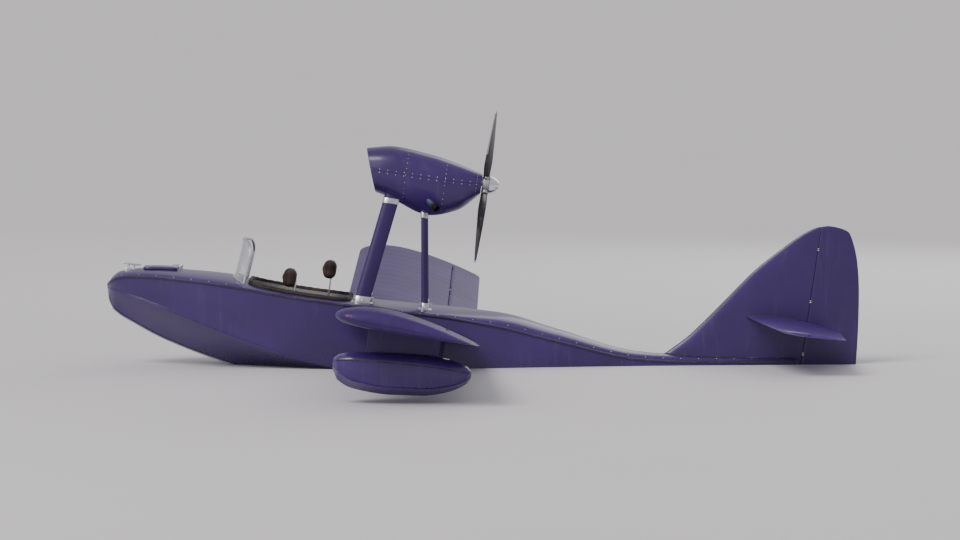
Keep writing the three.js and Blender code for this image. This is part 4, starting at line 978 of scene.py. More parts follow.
class BOAT_OT_coaming(bpy.types.Operator):
    """The padded roll round the cockpit: a D section carried along the opening, with puckers at the stitches"""
    bl_idname = "boat.coaming"
    bl_label = "Cockpit coaming"

    def execute(self, context):
        size = sizes("cockpit")
        cx, hx = (COCKPIT.front + COCKPIT.back) / 2, (COCKPIT.back - COCKPIT.front) / 2
        grow = size.roll_wide / 2
        outline = rounded_box(hx + grow, COCKPIT.half + grow, COCKPIT.corner + grow, 720)
        along = np.append(0, np.cumsum(np.linalg.norm(np.roll(outline, -1, 0) - outline, axis=1)))
        total = along[-1]
        at = total * np.arange(560) / 560
        x, y = (np.interp(at, along, np.append(line, line[0])) for line in outline.T)
        path = on_deck(cx + x, y)
        c, s = np.cos(angles(28)), np.sin(angles(28))
        shape = join(np.where(s > 0, size.roll_high, 0.006) * s, grow * np.sign(c) * abs(c) ** 0.8)
        pucker = 1 + 0.035 * np.cos(TAU * at / (total / 44)) + 0.02 * np.sin(TAU * at * 13 / total + 1.0)
        roll = Skin().tube(path, shape * join(pucker, 1)[:, None], UP, closed=True)
        roll.build("coaming_roll", "coaming hide", "cockpit_coaming", sharp=75)
        ahead = unit(np.roll(path, -1, 0) - np.roll(path, 1, 0))
        away = unit(np.cross(ahead, [0, 0, 1.0])) * grow * 0.93 + [0, 0, 0.01]
        Skin().tube(path + away, circle(0.0024, 8), UP, closed=True).build("coaming_welt", "coaming hide")
        wanted = int(total / size.stitch)
        place = total * (np.arange(wanted) + 0.5) / wanted
        spots, ways = (join(*(np.interp(place, at, k, period=total) for k in line.T)) for line in (path + away, away))
        out = unit(ways)
        Skin().studs(spots + out * 0.0006 + [0, 0, 0.0052], out + [0, 0, 0.7], 0.0013, 0.001).build(
            "coaming_stitches", "thread", sharp=80)
        return {"FINISHED"}


class BOAT_OT_floor(bpy.types.Operator):
    """Floor boards: tapered planks across the V of the inside bottom, screwed to bearers"""
    bl_idname = "boat.floor"
    bl_label = "Floor boards"

    def execute(self, context):
        floor, thick, gap, bevel = COCKPIT.floor, 0.018, 0.0022, 0.0014
        x = spread((-1.778, COCKPIT.back - 0.004, 40))
        half = inner_width(x, floor - thick) - 0.003
        boards = 2 * max(1, round(float(half.max()) / sizes("cockpit").plank)) - 1
        planks, beams, screws = Skin(), Skin(), Skin()
        for i in range(boards):
            left, right = half * (-1 + 2 * i / boards) + gap, half * (-1 + 2 * (i + 1) / boards) - gap
            planks.loft(np.stack([join(x, y, floor + z) for y, z in (
                (right, -0.0012), (right - bevel, 0), (left + bevel, 0), (left, -0.0012), (left, -thick),
                (right, -thick))], 1))
        for at in (-1.7, -1.36, -1.04, -0.78):
            wide = inner_width(at, floor - 0.045) - 0.004
            beams.block((at, 0, floor - 0.034), (0.04, 2 * wide, 0.03), bevel=0.003)
            middle = np.interp(at, x, half) * (-1 + (2 * np.arange(boards) + 1) / boards)
            screws.studs(join(at, (middle[:, None] + [-0.024, 0.024]).ravel(), floor), UP, 0.0035, 0.0007)
        planks.build("floor_planks", "boards", "cockpit_floor")
        beams.build("floor_bearers", "boards")
        screws.build("floor_screws", "bright alloy", sharp=60)
        return {"FINISHED"}


class BOAT_OT_controls(bpy.types.Operator):
    """Stick with its gaiter and grip, and the rudder bar with four ribbed pedals"""
    bl_idname = "boat.controls"
    bl_label = "Stick and pedals"

    def execute(self, context):
        floor = COCKPIT.floor
        stick, t = Skin(), shares(24)
        stick.tube(join(-1.56 + 0.04 * t ** 1.4, 0, floor + 0.02 + 0.31 * t),
                   circle(1, 16) * (0.011 - 0.0015 * t)[:, None, None], AFT, mark=1)
        girth = 0.015 + 0.0018 * np.sin(TAU * t * 4) * ease(1 - abs(2 * t - 1)) - 0.0025 * t ** 3
        girth[0], girth[-1] = 0.01, 0.008
        stick.tube(join(-1.52 + 0.014 * t, 0, floor + 0.32 + 0.11 * t),
                   circle(1, 20, 0.86) * girth[:, None, None], AFT)
        stick.lathe(TURNED["stick button"], (-1.506, 0, floor + 0.4285), (0.12, 0, 1), 16, 2, 0.001)
        h = shares(34)
        folds = 0.036 * (1 - h) ** 0.8 + 0.0128 + 0.0028 * np.sin(TAU * h * 6) * (1 - 0.4 * h)
        folds[0] = 0.002
        gaiter = chain(join(0.001 + 0.07 * h, folds), [[0.07, 0.008], [0.0, 0.002]])
        stick.lathe(gaiter, (-1.56, 0, floor), (0.05, 0, 1), 28)
        stick.build("stick", ["black rubber", "bright alloy", "red lens"], "control_stick", sharp=50)
        x, z = -2.06, 0.06
        wide = min(0.32, inner_width(x, z) - 0.006)
        pedals = Skin().rod(-wide, wide, 0.012, (x, 0, z), ACROSS)
        for y in (-0.165, -0.075, 0.075, 0.165):
            pedals.block((x, y, 0.125), (0.012, 0.062, 0.128), bevel=0.003)
            for k in range(6):
                pedals.block((x + 0.0075, y, 0.08 + 0.018 * k), (0.004, 0.052, 0.007), bevel=0.0012, mark=1)
            pedals.rod(-0.02, 0.02, 0.018, (x, y, z), ACROSS, 20, 1, 0.003)
        pedals.build("pedals", ["bright alloy", "black rubber"], "rudder_pedals")
        return {"FINISHED"}


# Columns: y, z of the instrument's middle, radius, needle's angle in degrees, number of ticks
DIALS = [
    (-0.255, 0.452, 0.04, 215, 24), (-0.155, 0.452, 0.04, 160, 32), (-0.255, 0.352, 0.04, 60, 20),
    (-0.155, 0.352, 0.04, 20, 36), (0.155, 0.452, 0.04, 130, 30), (0.255, 0.452, 0.029, 80, 16),
    (0.155, 0.352, 0.029, 300, 16), (0.235, 0.352, 0.029, 250, 16), (0.0, 0.47, 0.034, 10, 36),
]


def dial_bar(skin, centre, degrees, out, size, bevel):
    """A bar on a dial's face, its middle a way out along the ray at an angle from upright."""
    s, c = math.sin(math.radians(degrees)), math.cos(math.radians(degrees))
    axes = np.array([[0, s, c], [0, c, -s], [1, 0, 0]])
    skin.block(axes[0] * out + centre, size, axes, bevel)


class BOAT_OT_panel(bpy.types.Operator):
    """The instrument panel: a crackle-finished board with blank round dials, switches and two knobs"""
    bl_idname = "boat.panel"
    bl_label = "Instrument panel"

    def execute(self, context):
        front, thick, low, high, round_at = -1.626, 0.02, 0.246, 0.524, 0.464
        face = front + thick
        z = np.linspace(low, high, 14)
        corner = np.sqrt(np.clip(1 - ((z - round_at) / 0.075) ** 2, 0.1, 1))
        wide = inner_width(front, z) - 0.004 - np.where(z > round_at, 0.06 * (1 - corner), 0)
        y = wide[:, None] * shares(41, -1)
        under = np.minimum(high, deck_height(front, y) - sizes("hull").deck - 0.004)
        z = low + (z[:, None] - low) * (under - low) / (high - low)
        Skin().plate(join(face, y, z), join(front, y, z)).build(
            "panel_board", "black crackle", "instrument_panel", sharp=40)
        bezels, marks, knobs = Skin(), Skin(), Skin()
        for y, z, r, needle, ticks in DIALS:
            bezels.lathe([[0.0002, 0], [0.0002, r * 1.12], [0.004, r * 1.1], [0.006, r * 1.02], [0.0052, r * 0.94],
                          [0.0012, r * 0.92], [0.001, 0]], (face, y, z), AFT, 40, 0, 0.0008)
            for sy, sz in CORNERS:
                bezels.studs([(face, y + sy * r * 0.86, z + sz * r * 0.86)], AFT, 0.0028, 0.001, 1)
            for k in range(ticks):
                long = 0.1 if k % 4 else 0.2
                dial_bar(marks, (face + 0.0013, y, z), 360 * k / ticks, r * (0.88 - long / 2),
                         (r * long, 0.0009, 0.0005), 0.0002)
            dial_bar(marks, (face + 0.0026, y, z), needle, r * 0.3, (r * 0.84, 0.0018, 0.0006), 0.0003)
            marks.lathe(TURNED["needle cap"], (face, y, z), AFT, 12)
        bezels.build("dial_bezels", ["dial face", "dull alloy"])
        marks.build("dial_marks", "dial marks")
        for k in range(6):
            knobs.lathe(TURNED["switch"], (face, -0.075 + 0.03 * k, 0.405), (1, 0, 0.35), 14, 0, 0.0006)
        for y in (-0.04, 0.04):
            knobs.lathe(TURNED["knob"], (face, y, 0.318), AFT, 24, 1, 0.0015)
        knobs.build("panel_knobs", ["bright alloy", "black rubber"], slot="panel_black")
        return {"FINISHED"}


def points_of(mesh):
    points = np.empty(len(mesh.vertices) * 3)
    mesh.vertices.foreach_get("co", points)
    return points.reshape(-1, 3)


def move_points(mesh, points):
    mesh.vertices.foreach_set("co", points.ravel())
    mesh.update()


def pad_outline(half_u, half_v, corner, count):
    """A round-cornered outline whose sides pull in between the corners."""
    outline = rounded_box(half_u, half_v, corner, count)
    turn = np.arctan2(outline[:, 1] / half_v, outline[:, 0] / half_u)
    return outline * (1 - 0.028 * (1 - abs(np.sin(2 * turn))))[:, None]


def pad_rings(half_u, half_v, half_w, corner):
    """A pad before stuffing: its outline carried over a profile that is flat below, round at the edge and
    crowned above."""
    edge = np.radians(np.linspace(-90, 90, 15))
    share = 1 - half_w * 0.9 * (1 - np.cos(edge)) / min(half_u, half_v)
    inner = np.linspace(0.02, share[0], 14)[:-1]
    crown = 0.16 * half_w * (1 - (inner[::-1] / share[0]) ** 2)
    heights = chain(np.full(13, -half_w), half_w * np.sin(edge), half_w + crown)
    rings = pad_outline(half_u, half_v, corner, 144) * chain(inner, share, inner[::-1])[:, None, None]
    return join(rings[..., 0], rings[..., 1], heights[:, None])


def stuffed(piece, cap, pressure):
    """Stuffs a closed pad: remeshed to even cells, blown up by Cloth with pressure and no gravity, each
    point's travel capped, and smoothed by one subdivision."""
    scene = bpy.context.scene
    bpy.context.view_layer.objects.active = piece
    remesh = piece.modifiers.new("even", "REMESH")
    remesh.mode, remesh.voxel_size, remesh.use_smooth_shade = "VOXEL", 0.006, True
    bpy.ops.object.modifier_apply(modifier=remesh.name)
    cloth = piece.modifiers.new("stuffing", "CLOTH")
    cloth.settings.use_pressure = True
    cloth.settings.uniform_pressure_force = pressure
    cloth.settings.effector_weights.gravity = 0
    cloth.settings.quality = 4
    cloth.point_cache.frame_start, cloth.point_cache.frame_end = 1, 20
    for step in range(1, 21):
        scene.frame_set(step)
    start = points_of(piece.data)
    move = points_of(piece.evaluated_get(bpy.context.evaluated_depsgraph_get()).data) - start
    piece.modifiers.remove(cloth)
    scene.frame_set(1)
    far = np.linalg.norm(move, axis=1, keepdims=True)
    move_points(piece.data, start + move * np.minimum(1, cap / np.maximum(far, 1e-9)))
    smooth = piece.modifiers.new("smooth", "SUBSURF")
    smooth.levels = smooth.render_levels = 1
    bpy.ops.object.modifier_apply(modifier=smooth.name)
    piece.data.shade_smooth()


def pad(name, node, side, centre, axes, half, corner, channels, cords, grow, depth):
    """A stuffed leather pad: half sizes along three axes, with sewn channels across its first axis. A
    channel sinks the face by a Gaussian of the distance from its line. Two cords of hide go round its edge,
    a depth above and below its middle: small circles carried along the pad's own outline, grown a little,
    each point of which is moved to the nearest point of the stuffed surface."""
    size = sizes("cockpit")
    half, axes, centre = np.array(half), np.array(axes, float), np.array(centre, float)
    skin = Skin().loft(pad_rings(*half, corner))
    skin.points = [fitted(centre + chain(*skin.points) @ axes, side, 0.026)]
    piece = skin.build(name, "seat hide", node, sharp=80)
    stuffed(piece, size.swell, size.pressure)
    scene_axes, scene_centre = trimmed(axes), trimmed(centre)
    local = (points_of(piece.data) - scene_centre) @ scene_axes.T
    if len(channels):
        near = np.abs(local[:, :1] - channels).min(1)
        face = ease((local[:, 2] + half[2] * 0.1) / half[2])
        face *= ease((half[1] * 0.95 - abs(local[:, 1])) / (half[1] * 0.12))
        crease = 0.55 + 0.45 * np.cos(TAU * local[:, 1] / 0.034)
        local[:, 2] += face * (0.0035 * (1 - np.exp(-(near / 0.02) ** 2)) - 0.01 * np.exp(-(near / 0.007) ** 2)
                               - 0.001 * crease * np.exp(-(near / 0.018) ** 2))
    move_points(piece.data, scene_centre + local @ scene_axes)
    outline = pad_outline(half[0] + grow, half[1] + grow, corner + grow - 0.002, 160)
    work = bmesh.new()
    work.from_mesh(piece.data)
    surface = BVHTree.FromBMesh(work)
    work.free()
    for w in (depth, -depth):
        path = trimmed(fitted(centre + join(outline[:, 0], outline[:, 1], w) @ axes, side, 0.017))
        near = np.array([surface.find_nearest(Vector(point))[0] for point in path])
        cords.tube(trimmed(near, -1), circle(0.0034, 8), axes[2], closed=True)


class BOAT_OT_seats(bpy.types.Operator):
    """Two seats: a thin bent shell, a stuffed cushion and back with sewn channels, and a headrest on posts"""
    bl_idname = "boat.seats"
    bl_label = "Seats"

    def execute(self, context):
        recline = math.radians(10)
        lean = np.array([math.sin(recline), 0, math.cos(recline)])
        face = [-lean[2], 0, lean[0]]
        base, thick, back_high, seams = COCKPIT.floor, 0.085, 0.48, np.arange(-2, 3)
        for name, (side, bend, top, ahead) in SEATS.items():
            y = side * 0.236
            shell, cords, posts = Skin(), Skin(), Skin()
            pan = join(bend + np.array([-0.398, -0.2, 0.055]), 0, base + 0.005)
            rise = [bend + 0.062, 0, base + 0.01] + np.linspace(0.045, 0.565, 12)[:, None] * lean
            path = rounded(chain(pan, rise)[None], 0.05, 4)[0]
            tangent = unit(np.gradient(path, axis=0))
            narrow = np.minimum(1 - 0.1 * ease((path[:, 2] - 0.3) / 0.18) ** 2,
                                1 - 0.16 * ease((0.03 - path[:, 2]) / 0.12))
            shell.tube(path + [0, y, 0], rounded_box(0.0045, 0.196, 0.004, 40) * join(1, narrow)[:, None],
                       join(-tangent[:, 2], 0, tangent[:, 0]))
            shell.placed(lambda points: fitted(points, side, 0.009)).build(
                f"seat_shell_{name}", "dull alloy", slot="seat_cloth")
            post_x, post_z = bend + back_high * math.tan(recline) + 0.035, base + thick + back_high
            across = [0, 1, 0]
            pad(f"seat_cushion_{name}", f"seat_{name}", side, (bend - 0.196, y - side * 0.014, base + 0.0475),
                np.eye(3), (0.188, 0.178, 0.031), 0.05, 0.055 * seams, cords, 0.004, 0.014)
            pad(f"seat_back_{name}", "", side, lean * 0.245 + [bend + 0.026, y, base + thick], [lean, across, face],
                (0.218, 0.178, 0.022), 0.06, 0.07 * seams, cords, 0.004, 0.0098)
            pad(f"head_pad_{name}", f"headrest_{name}", side, (post_x - ahead, y, top - 0.0975),
                [[0, 0, 1], across, [-1, 0, 0]], (0.083, 0.108, 0.06), 0.045, (), cords, 0.005, 0.0364)
            cords.build(f"seat_piping_{name}", "coaming hide", slot="seat_cloth")
            for dy in (-0.05, 0.05):
                posts.rod(-0.1, top - 0.12 - post_z, 0.007, (post_x, y + dy, post_z), UP, 16)
                posts.rod(-0.006, 0.006, 0.013, (post_x, y + dy, post_z + 0.004), UP, mark=1)
            posts.build(f"head_posts_{name}", ["bright alloy", "black rubber"])
        return {"FINISHED"}


# Windscreen

SCREEN = Sizes(front=-1.77, half=0.4, radius=0.7823, foot=0.56, top=0.92, lean=0.1, corner=0.15)


def screen_x(y, z):
    """The screen's surface: a circle in plan, sheared aft as it rises."""
    radius = SCREEN.radius
    return SCREEN.front + radius - np.sqrt(radius ** 2 - y * y) + SCREEN.lean * (z - SCREEN.foot)


class BOAT_OT_windscreen(bpy.types.Operator):
    """A curved clear sheet in an arched frame, with a base strip screwed to the deck"""
    bl_idname = "boat.windscreen"
    bl_label = "Windscreen"

    def execute(self, context):
        inset = 0.012
        half, corner = SCREEN.half - inset, SCREEN.corner - inset
        y = half * np.sin(np.pi / 2 * shares(65, -1))
        # The arch: level, then a quarter circle down to each side
        over = np.clip((abs(y) - (half - corner)) / corner, 0, 1)
        top = SCREEN.top - inset - corner + corner * np.sqrt(1 - over ** 2)
        foot = deck_height(screen_x(y, SCREEN.foot), y) - 0.004
        z = foot + shares(25)[:, None] * (top - foot)
        sheet = join(screen_x(y, z), y, z)
        Skin().plate(sheet + [0.002, 0, 0], sheet - [0.002, 0, 0]).build(
            "screen_sheet", "clear sheet", "windscreen_glass", sharp=50)

        side, corner, turn_z = SCREEN.half - 0.013, SCREEN.corner - 0.013, SCREEN.top - SCREEN.corner
        turn = np.radians(np.linspace(0, 90, 22))
        deck = deck_height(screen_x(side, 0.5), side)
        star_y = chain(np.full(12, side), side - corner + corner * np.cos(turn))
        star_z = chain(np.linspace(deck - 0.006, turn_z, 12, endpoint=False), turn_z + corner * np.sin(turn))
        level = np.linspace(side - corner, corner - side, 26)[1:-1]
        y = chain(star_y, level, -star_y[::-1])
        z = chain(star_z, np.full(24, star_z[-1]), star_z[::-1])
        hoop, screws = Skin().tube(join(screen_x(y, z), y, z), rounded_box(0.0115, 0.0125, 0.005, 24), AFT), Skin()
        y = np.linspace(-side, side, 61)
        x = screen_x(y, SCREEN.foot)
        strip = np.array([[0.012, 0], [0.012, 0.003], [0.002, 0.004], [-0.003, 0.022], [-0.006, 0.022]])
        strip = chain(strip, [[-0.006, 0]], strip[:0:-1] * [1, -1])
        hoop.tube(on_deck(x, y, 0.004), strip, deck_normal(x, y)).build(
            "screen_hoop", "bright alloy", "windscreen_frame")
        y = np.linspace(-side + 0.02, side - 0.02, 15)
        for dx in (-0.016, 0.016):
            x = screen_x(y, SCREEN.foot) + dx
            screws.studs(on_deck(x, y, 0.0015), deck_normal(x, y), 0.0036, 0.0014)
        screws.build("screen_screws", "dull alloy", sharp=60)
        return {"FINISHED"}


# Lifting surfaces

EDGE = 0.002
CLEAR = 0.006
LUG = 0.012


def foil_half(t):
    """Half thickness of the symmetric four-digit section, for a thickness of one chord."""
    t = np.clip(t, 0, 1)
    return 5 * (0.2969 * np.sqrt(t) - 0.126 * t - 0.3516 * t ** 2 + 0.2843 * t ** 3 - 0.1036 * t ** 4)


def camber_line(t):
    """Height of a middle line whose crown is at four tenths of the chord, as a share of the crown."""
    return np.where(t < 0.4, (0.8 * t - t * t) / 0.16, (0.2 + 0.8 * t - t * t) / 0.36)


def polar(size, angle):
    return join(size * np.cos(angle), size * np.sin(angle))


def laid(y, *parts):
    """Runs of (chord, height) points joined into sections at each span."""
    flat = chain(*parts, axis=1)
    return join(flat[..., 0], y, flat[..., 1])


class Foil:
    """A lifting surface split at a hinge line. Sections run along the second axis; the surface's own frame
    has the chord along the first and the thickness along the third. For each span station the planform
    gives leading edge, trailing edge and thickness share; camber and fabric sag are added to that. The
    moving part's nose has the radius given, or else the surface's half thickness at the hinge, and never
    less than least."""

    def __init__(self, planform, hinge, rows, least=0.0, nose=None, camber=0.0, ribs=1.0, sag=0.0):
        self.planform, self.hinge, self.rows, self.least, self.nose = planform, hinge, rows, least, nose
        self.camber, self.ribs, self.sag = camber, ribs, sag

    def face(self, y, t, side):
        """Chord place and height of the upper (side 1) or lower (side -1) face at chord shares t."""
        nose, tail, thick = self.planform(y)
        chord = tail - nose
        sag = self.sag * np.sin(np.pi * y / self.ribs) ** 2 * ease(t / 0.1) * ease((0.97 - t) / 0.15)
        height = self.camber * camber_line(t) * chord + side * (thick * foil_half(t) * chord + EDGE * t - sag)
        return join(nose + t * chord, height)

    def half(self, y, x):
        """Half the thickness at place x along the chord."""
        nose, tail, thick = self.planform(y)
        return thick * foil_half((x - nose) / (tail - nose)) * (tail - nose)

    def radius(self, y):
        half = self.half(y, self.hinge)
        return np.maximum(self.least, half if self.nose is None else self.nose + 0 * half)

    def middle(self, y):
        """Height of the hinge axis: the middle line at the hinge's chord share."""
        nose, tail, _ = self.planform(y)
        return self.camber * camber_line((self.hinge - nose) / (tail - nose)) * (tail - nose)

    def share(self, y, x):
        nose, tail, _ = self.planform(y)
        return np.clip((x - nose) / (tail - nose), 0.02, 1)

    def fixed(self, y, coved):
        """Sections of the fixed part: leading edge, lower face, rear, upper face. The rear goes on to the
        trailing edge, or round a cove, an arc about the hinge axis one clearance wider than the moving
        part's nose."""
        y = np.asarray(y, float)[:, None]
        reach = self.radius(y) + CLEAR
        lip = self.share(y, self.hinge - 0.55 * reach)
        t = (1 - np.cos(np.pi * shares(self.rows) * 0.72)) / (1 - math.cos(math.pi * 0.72)) * lip
        lower, upper = self.face(y, t, -1), self.face(y, t, 1)
        if coved:
            axis, s = join(self.hinge, self.middle(y)), shares(29)
            low, high = lower[:, -1:] - axis, upper[:, -1:] - axis
            start = np.mod(np.arctan2(low[..., 1], low[..., 0]), TAU)
            turn = start + (np.arctan2(high[..., 1], high[..., 0]) - start) * s
            size = np.linalg.norm(high, axis=-1)
            back = axis + polar(size + (reach - size) * np.sin(np.pi * s) ** 0.3, turn)
        else:
            far = lip + (1 - lip) * shares(15)[1:]
            down, up = self.face(y, far, -1), self.face(y, far, 1)
            tip = (down[:, -1:] + up[:, -1:]) / 2
            back = chain(lower[:, -1:], down[:, :-1], tip, up[:, -2::-1], upper[:, -1:], axis=1)
        return laid(y, lower[:, :-1], back, upper[:, -2:0:-1])

    def moving(self, y, notched=False):
        """Sections of the moving part: trailing edge, upper face, round nose about the hinge axis, lower
        face. In a notch the nose gives way to a hollow arc that clears the hinge's boss."""
        y = np.asarray(y, float)[:, None]
        radius, axis = self.radius(y), self.middle(y)
        t = 1 - (1 - self.share(y, self.hinge)) * (1 - np.cos(np.pi / 2 * shares(18)))
        upper, lower = self.face(y, t, 1), self.face(y, t, -1)
        high, low = upper[:, -1:, 1] - axis, axis - lower[:, -1:, 1]
        s = shares(27)[1:-1]
        if notched:
            boss = np.minimum(0.019, radius * 0.72)
            nose = polar(boss, np.pi / 2 - np.pi * np.clip(2 * s - 0.5, 0, 1))
            nose[..., 1] = np.where(s < 0.25, high + (boss - high) * 4 * s, nose[..., 1])
            nose[..., 1] = np.where(s > 0.75, (boss - low) * (4 * s - 3) - boss, nose[..., 1])
        else:
            size = radius + (np.where(s < 0.5, high, low) - radius) * np.abs(1 - 2 * s) ** 6
            nose = polar(size, np.pi / 2 + np.pi * s)
        return laid(y, (upper[:, :1] + lower[:, :1]) / 2, upper, join(self.hinge, axis) + nose, lower[:, ::-1])

    def moving_span(self, first, last, lugs, pitch=0.035):
        """Sections from end to end, notched at each lug, with two sections at each wall."""
        stops = [first, *(lug + way for lug in lugs for way in (-LUG, LUG)), last]
        return chain(*(self.moving(np.linspace(a, b, max(2, int(round((b - a) / pitch)) + 1)), k % 2 == 1)
                       for k, (a, b) in enumerate(zip(stops, stops[1:]))))

    def bracket(self, skin, y, pin):
        """A hinge arm: a tapered plate out of the cove to a bored boss on the hinge axis."""
        x, z, boss = self.hinge, self.middle(y), pin + 0.006
        arm = join([x - self.radius(y) - 0.014, x - boss * 1.4, x - boss * 0.72], y, z)
        tall = boss * join([1.15, 0.95, 0.8], 0.005 / boss)
        skin.tube(arm, rounded_box(1, 1, 0.3, 20) * tall[:, None], UP)
        skin.lathe([[-0.006, pin + 0.0008], [-0.006, boss - 0.001], [-0.005, boss], [0.005, boss],
                    [0.006, boss - 0.001], [0.006, pin + 0.0008]], (x, y, z), ACROSS, 24)

    def hinge_pin(self, skin, y, pin):
        """The pin across a notch, with a nut at each end."""
        z = self.middle(y)
        skin.rod(-0.02, 0.02, pin, (self.hinge, y, z), ACROSS, mark=1, soft=0.001)
        for end in (-1, 1):
            skin.rod(0, 0.003, pin + 0.003, (self.hinge, y + end * 0.0105 - 0.0015, z), ACROSS, 6, 1, 0.0006)


# Wing

FLAP, AILERON = (0.7, 2.44), (2.54, 4.18)


def wing_planform(y):
    """Leading edge, trailing edge and thickness share, drawn in at the tip."""
    size = sizes("wing")
    chord = sample(WING_TIP, 1, y)
    lost = size.chord * (1 - chord)
    return size.nose + lost * 0.55, size.nose + size.chord - lost * 0.45, size.thick * sample(WING_TIP, 2, y) / chord


def wing_place(points):
    """From the wing's frame: turned nose up by the incidence, then raised outwards by the dihedral."""
    size = sizes("wing")
    points = turn_about(points, 1, math.degrees(size.incidence))
    return turn_about(points, 0, math.degrees(size.dihedral)) + [0, 0, size.root]


def hull_side(x, z):
    """Half-breadth of the hull's outside above the chine at each x and z."""
    _, chine_y, chine_z, gun_y, gun_z, _ = lines(x)
    t = np.clip((z - chine_z) / (gun_z - chine_z), 0, 1)
    return chine_y + (gun_y - chine_y) * t + 0.008 * 4 * t * (1 - t)


class BOAT_OT_wings(bpy.types.Operator):
    """Wings with ribs showing through the covering, coves, hinge arms and root fairings"""
    bl_idname = "boat.wings"
    bl_label = "Wings"

    def execute(self, context):
        size = sizes("wing")
        foil = Foil(wing_planform, size.hinge, 30, 0, None, size.camber, size.rib, size.sag)
        foil.nose = foil.radius(0)
        stops = [0.47, FLAP[0] - CLEAR, FLAP[1] + CLEAR, AILERON[0] - CLEAR, AILERON[1] + CLEAR, 4.36]
        rings = chain(*(foil.fixed(np.linspace(a, b, max(3, int((b - a) / 0.036))), k % 2 == 1)
                        for k, (a, b) in enumerate(zip(stops, stops[1:]))),
                      foil.fixed(4.51 - 0.15 * np.cos(np.pi / 2 * shares(16)[1:]), False))
        x, y, z = rings[0].T
        rings[0, :, 1] = np.minimum(y, hull_side(x, z + size.root) - 0.03)
        Skin().loft(rings).placed(wing_place).both("wing_skin", "wing paint", "wing", sharp=36)
        curve = wing_place(join(x, hull_side(x, z + size.root + 0.032), z))
        curve[:, 1] = hull_side(curve[:, 0], curve[:, 2])
        Skin().tube(curve, circle(0.009, 8), ACROSS, closed=True).both(
            "wing_fairing", "black rubber", slot="wing_paint", sharp=80)
        arms = Skin()
        for part, (first, last) in ("flap", FLAP), ("aileron", AILERON):
            lugs = first + 0.18, last - 0.18
            surface = Skin().loft(foil.moving_span(first, last, lugs))
            for lug in lugs:
                foil.bracket(arms, lug, WING_PIN)
                foil.hinge_pin(surface, lug, WING_PIN)
            surface.placed(wing_place).both(part + "_skin", ["wing paint", "bright alloy"], part, body=part, sharp=36)
        arms.placed(wing_place).both("wing_brackets", "dull alloy")
        at, turn = 4.47, np.pi / 2 * shares(9)[:-1]
        dome = join(0.022 * np.sin(turn) - 0.004, 0.014 * np.cos(turn) ** 0.9)
        glow = Skin().lathe(chain([[-0.01, 0], [-0.01, 0.014]], dome, [[0.018, 0]]),
                            (wing_planform(at)[0] + 0.04, at + 0.004, 0.01), (-0.7, 0.7, 0), 24).placed(wing_place)
        for side, word in PAIR:
            glow.build("wing_lamp_" + word, "green lens" if side > 0 else "red lens", side=side)
        return {"FINISHED"}


class BOAT_OT_floats(bpy.types.Operator):
    """Tip floats with a rubber seam cord along the gunwale and over the nose, and a bilge cap, on streamlined pylons
    """
    bl_idname = "boat.floats"
    bl_label = "Tip floats"

    def execute(self, context):
        size = sizes("wing")
        front, middle, across, up, pitch = -0.69, -0.115, 3.9, 0.044, -5.0

        def place(points):
            return turn_about(points + [front - middle, 0, 0], 1, pitch) + [middle, across, up]

        x = spread((0.0, 0.04, 12), (0.04, 0.18, 14), (0.18, 0.9, 26), (0.9, 1.1, 14), (1.1, 1.147, 10))
        _, _, _, gun_y, gun_z, crown = lines(x, TIP_FLOAT)
        # The deck is a quarter ellipse each side
        angle = np.radians(np.linspace(0, 90, 9)[1:])
        deck = join(gun_y[:, None] * np.cos(angle), gun_z[:, None] + (crown - gun_z)[:, None] * np.sin(angle))
        deck[:, -1, 0] = 0
        rings = ring_of(outside(TIP_FLOAT, x), deck, x)
        rings = chain(end_ring(rings[:1], -0.004, 0.6, 0.228, 0.6), rings,
                      end_ring(rings[-1:], 0.003, 0.6, 0.208, 0.6))
        # The float's paint is lightened to offset the wing's shade: painted light
        Skin().loft(rings).placed(place).both("float_skin", "float paint", "tip_float", sharp=36)
        x = spread((0.02, 1.13, 80))
        _, _, _, gun_y, gun_z, _ = lines(x, TIP_FLOAT)
        trim = Skin().tube(round_to_port(join(x, gun_y, gun_z)), circle(0.0045, 10), UP)
        cap_at = (0.93, 0, sample(TIP_FLOAT, 6, 0.98) + 0.012)
        trim.lathe(TURNED["bilge cap"], cap_at, (0.16, 0, 1), 32, 1, 0.0015)
        trim.placed(place).both("float_seam", ["black rubber", "bright alloy"], slot="float_paint")
        strut = Foil(lambda y: (-0.455 + 0 * y, 0.15 + 0 * y, 0.13 + 0 * y), 0.0, 24, nose=0.02)
        height = spread((0.235, 0.33, 6), (0.33, 0.52, 8), (0.52, 0.68, 10))[:, None]
        px, thick = np.moveaxis(strut.fixed(height[:, 0], False)[..., [0, 2]], -1, 0)
        py = across + thick * (1 + 0.35 * np.exp(-((height - 0.33) / 0.035) ** 2) * (height < 0.5))
        # The post's head follows the underside of the wing
        t = np.clip((px - size.nose) / size.chord, 0, 1)
        head = (size.camber * camber_line(t) - size.thick * foil_half(t)) * size.chord
        head += size.root + math.tan(size.dihedral) * py - math.sin(size.incidence) * px + 0.022
        grow = ease((height - 0.45) / 0.23)
        Skin().loft(join(px, py, height * (1 - grow) + np.minimum(head, 0.9) * grow)).both(
            "pylon_skin", "strut paint", "float_pylon", sharp=40)
        return {"FINISHED"}


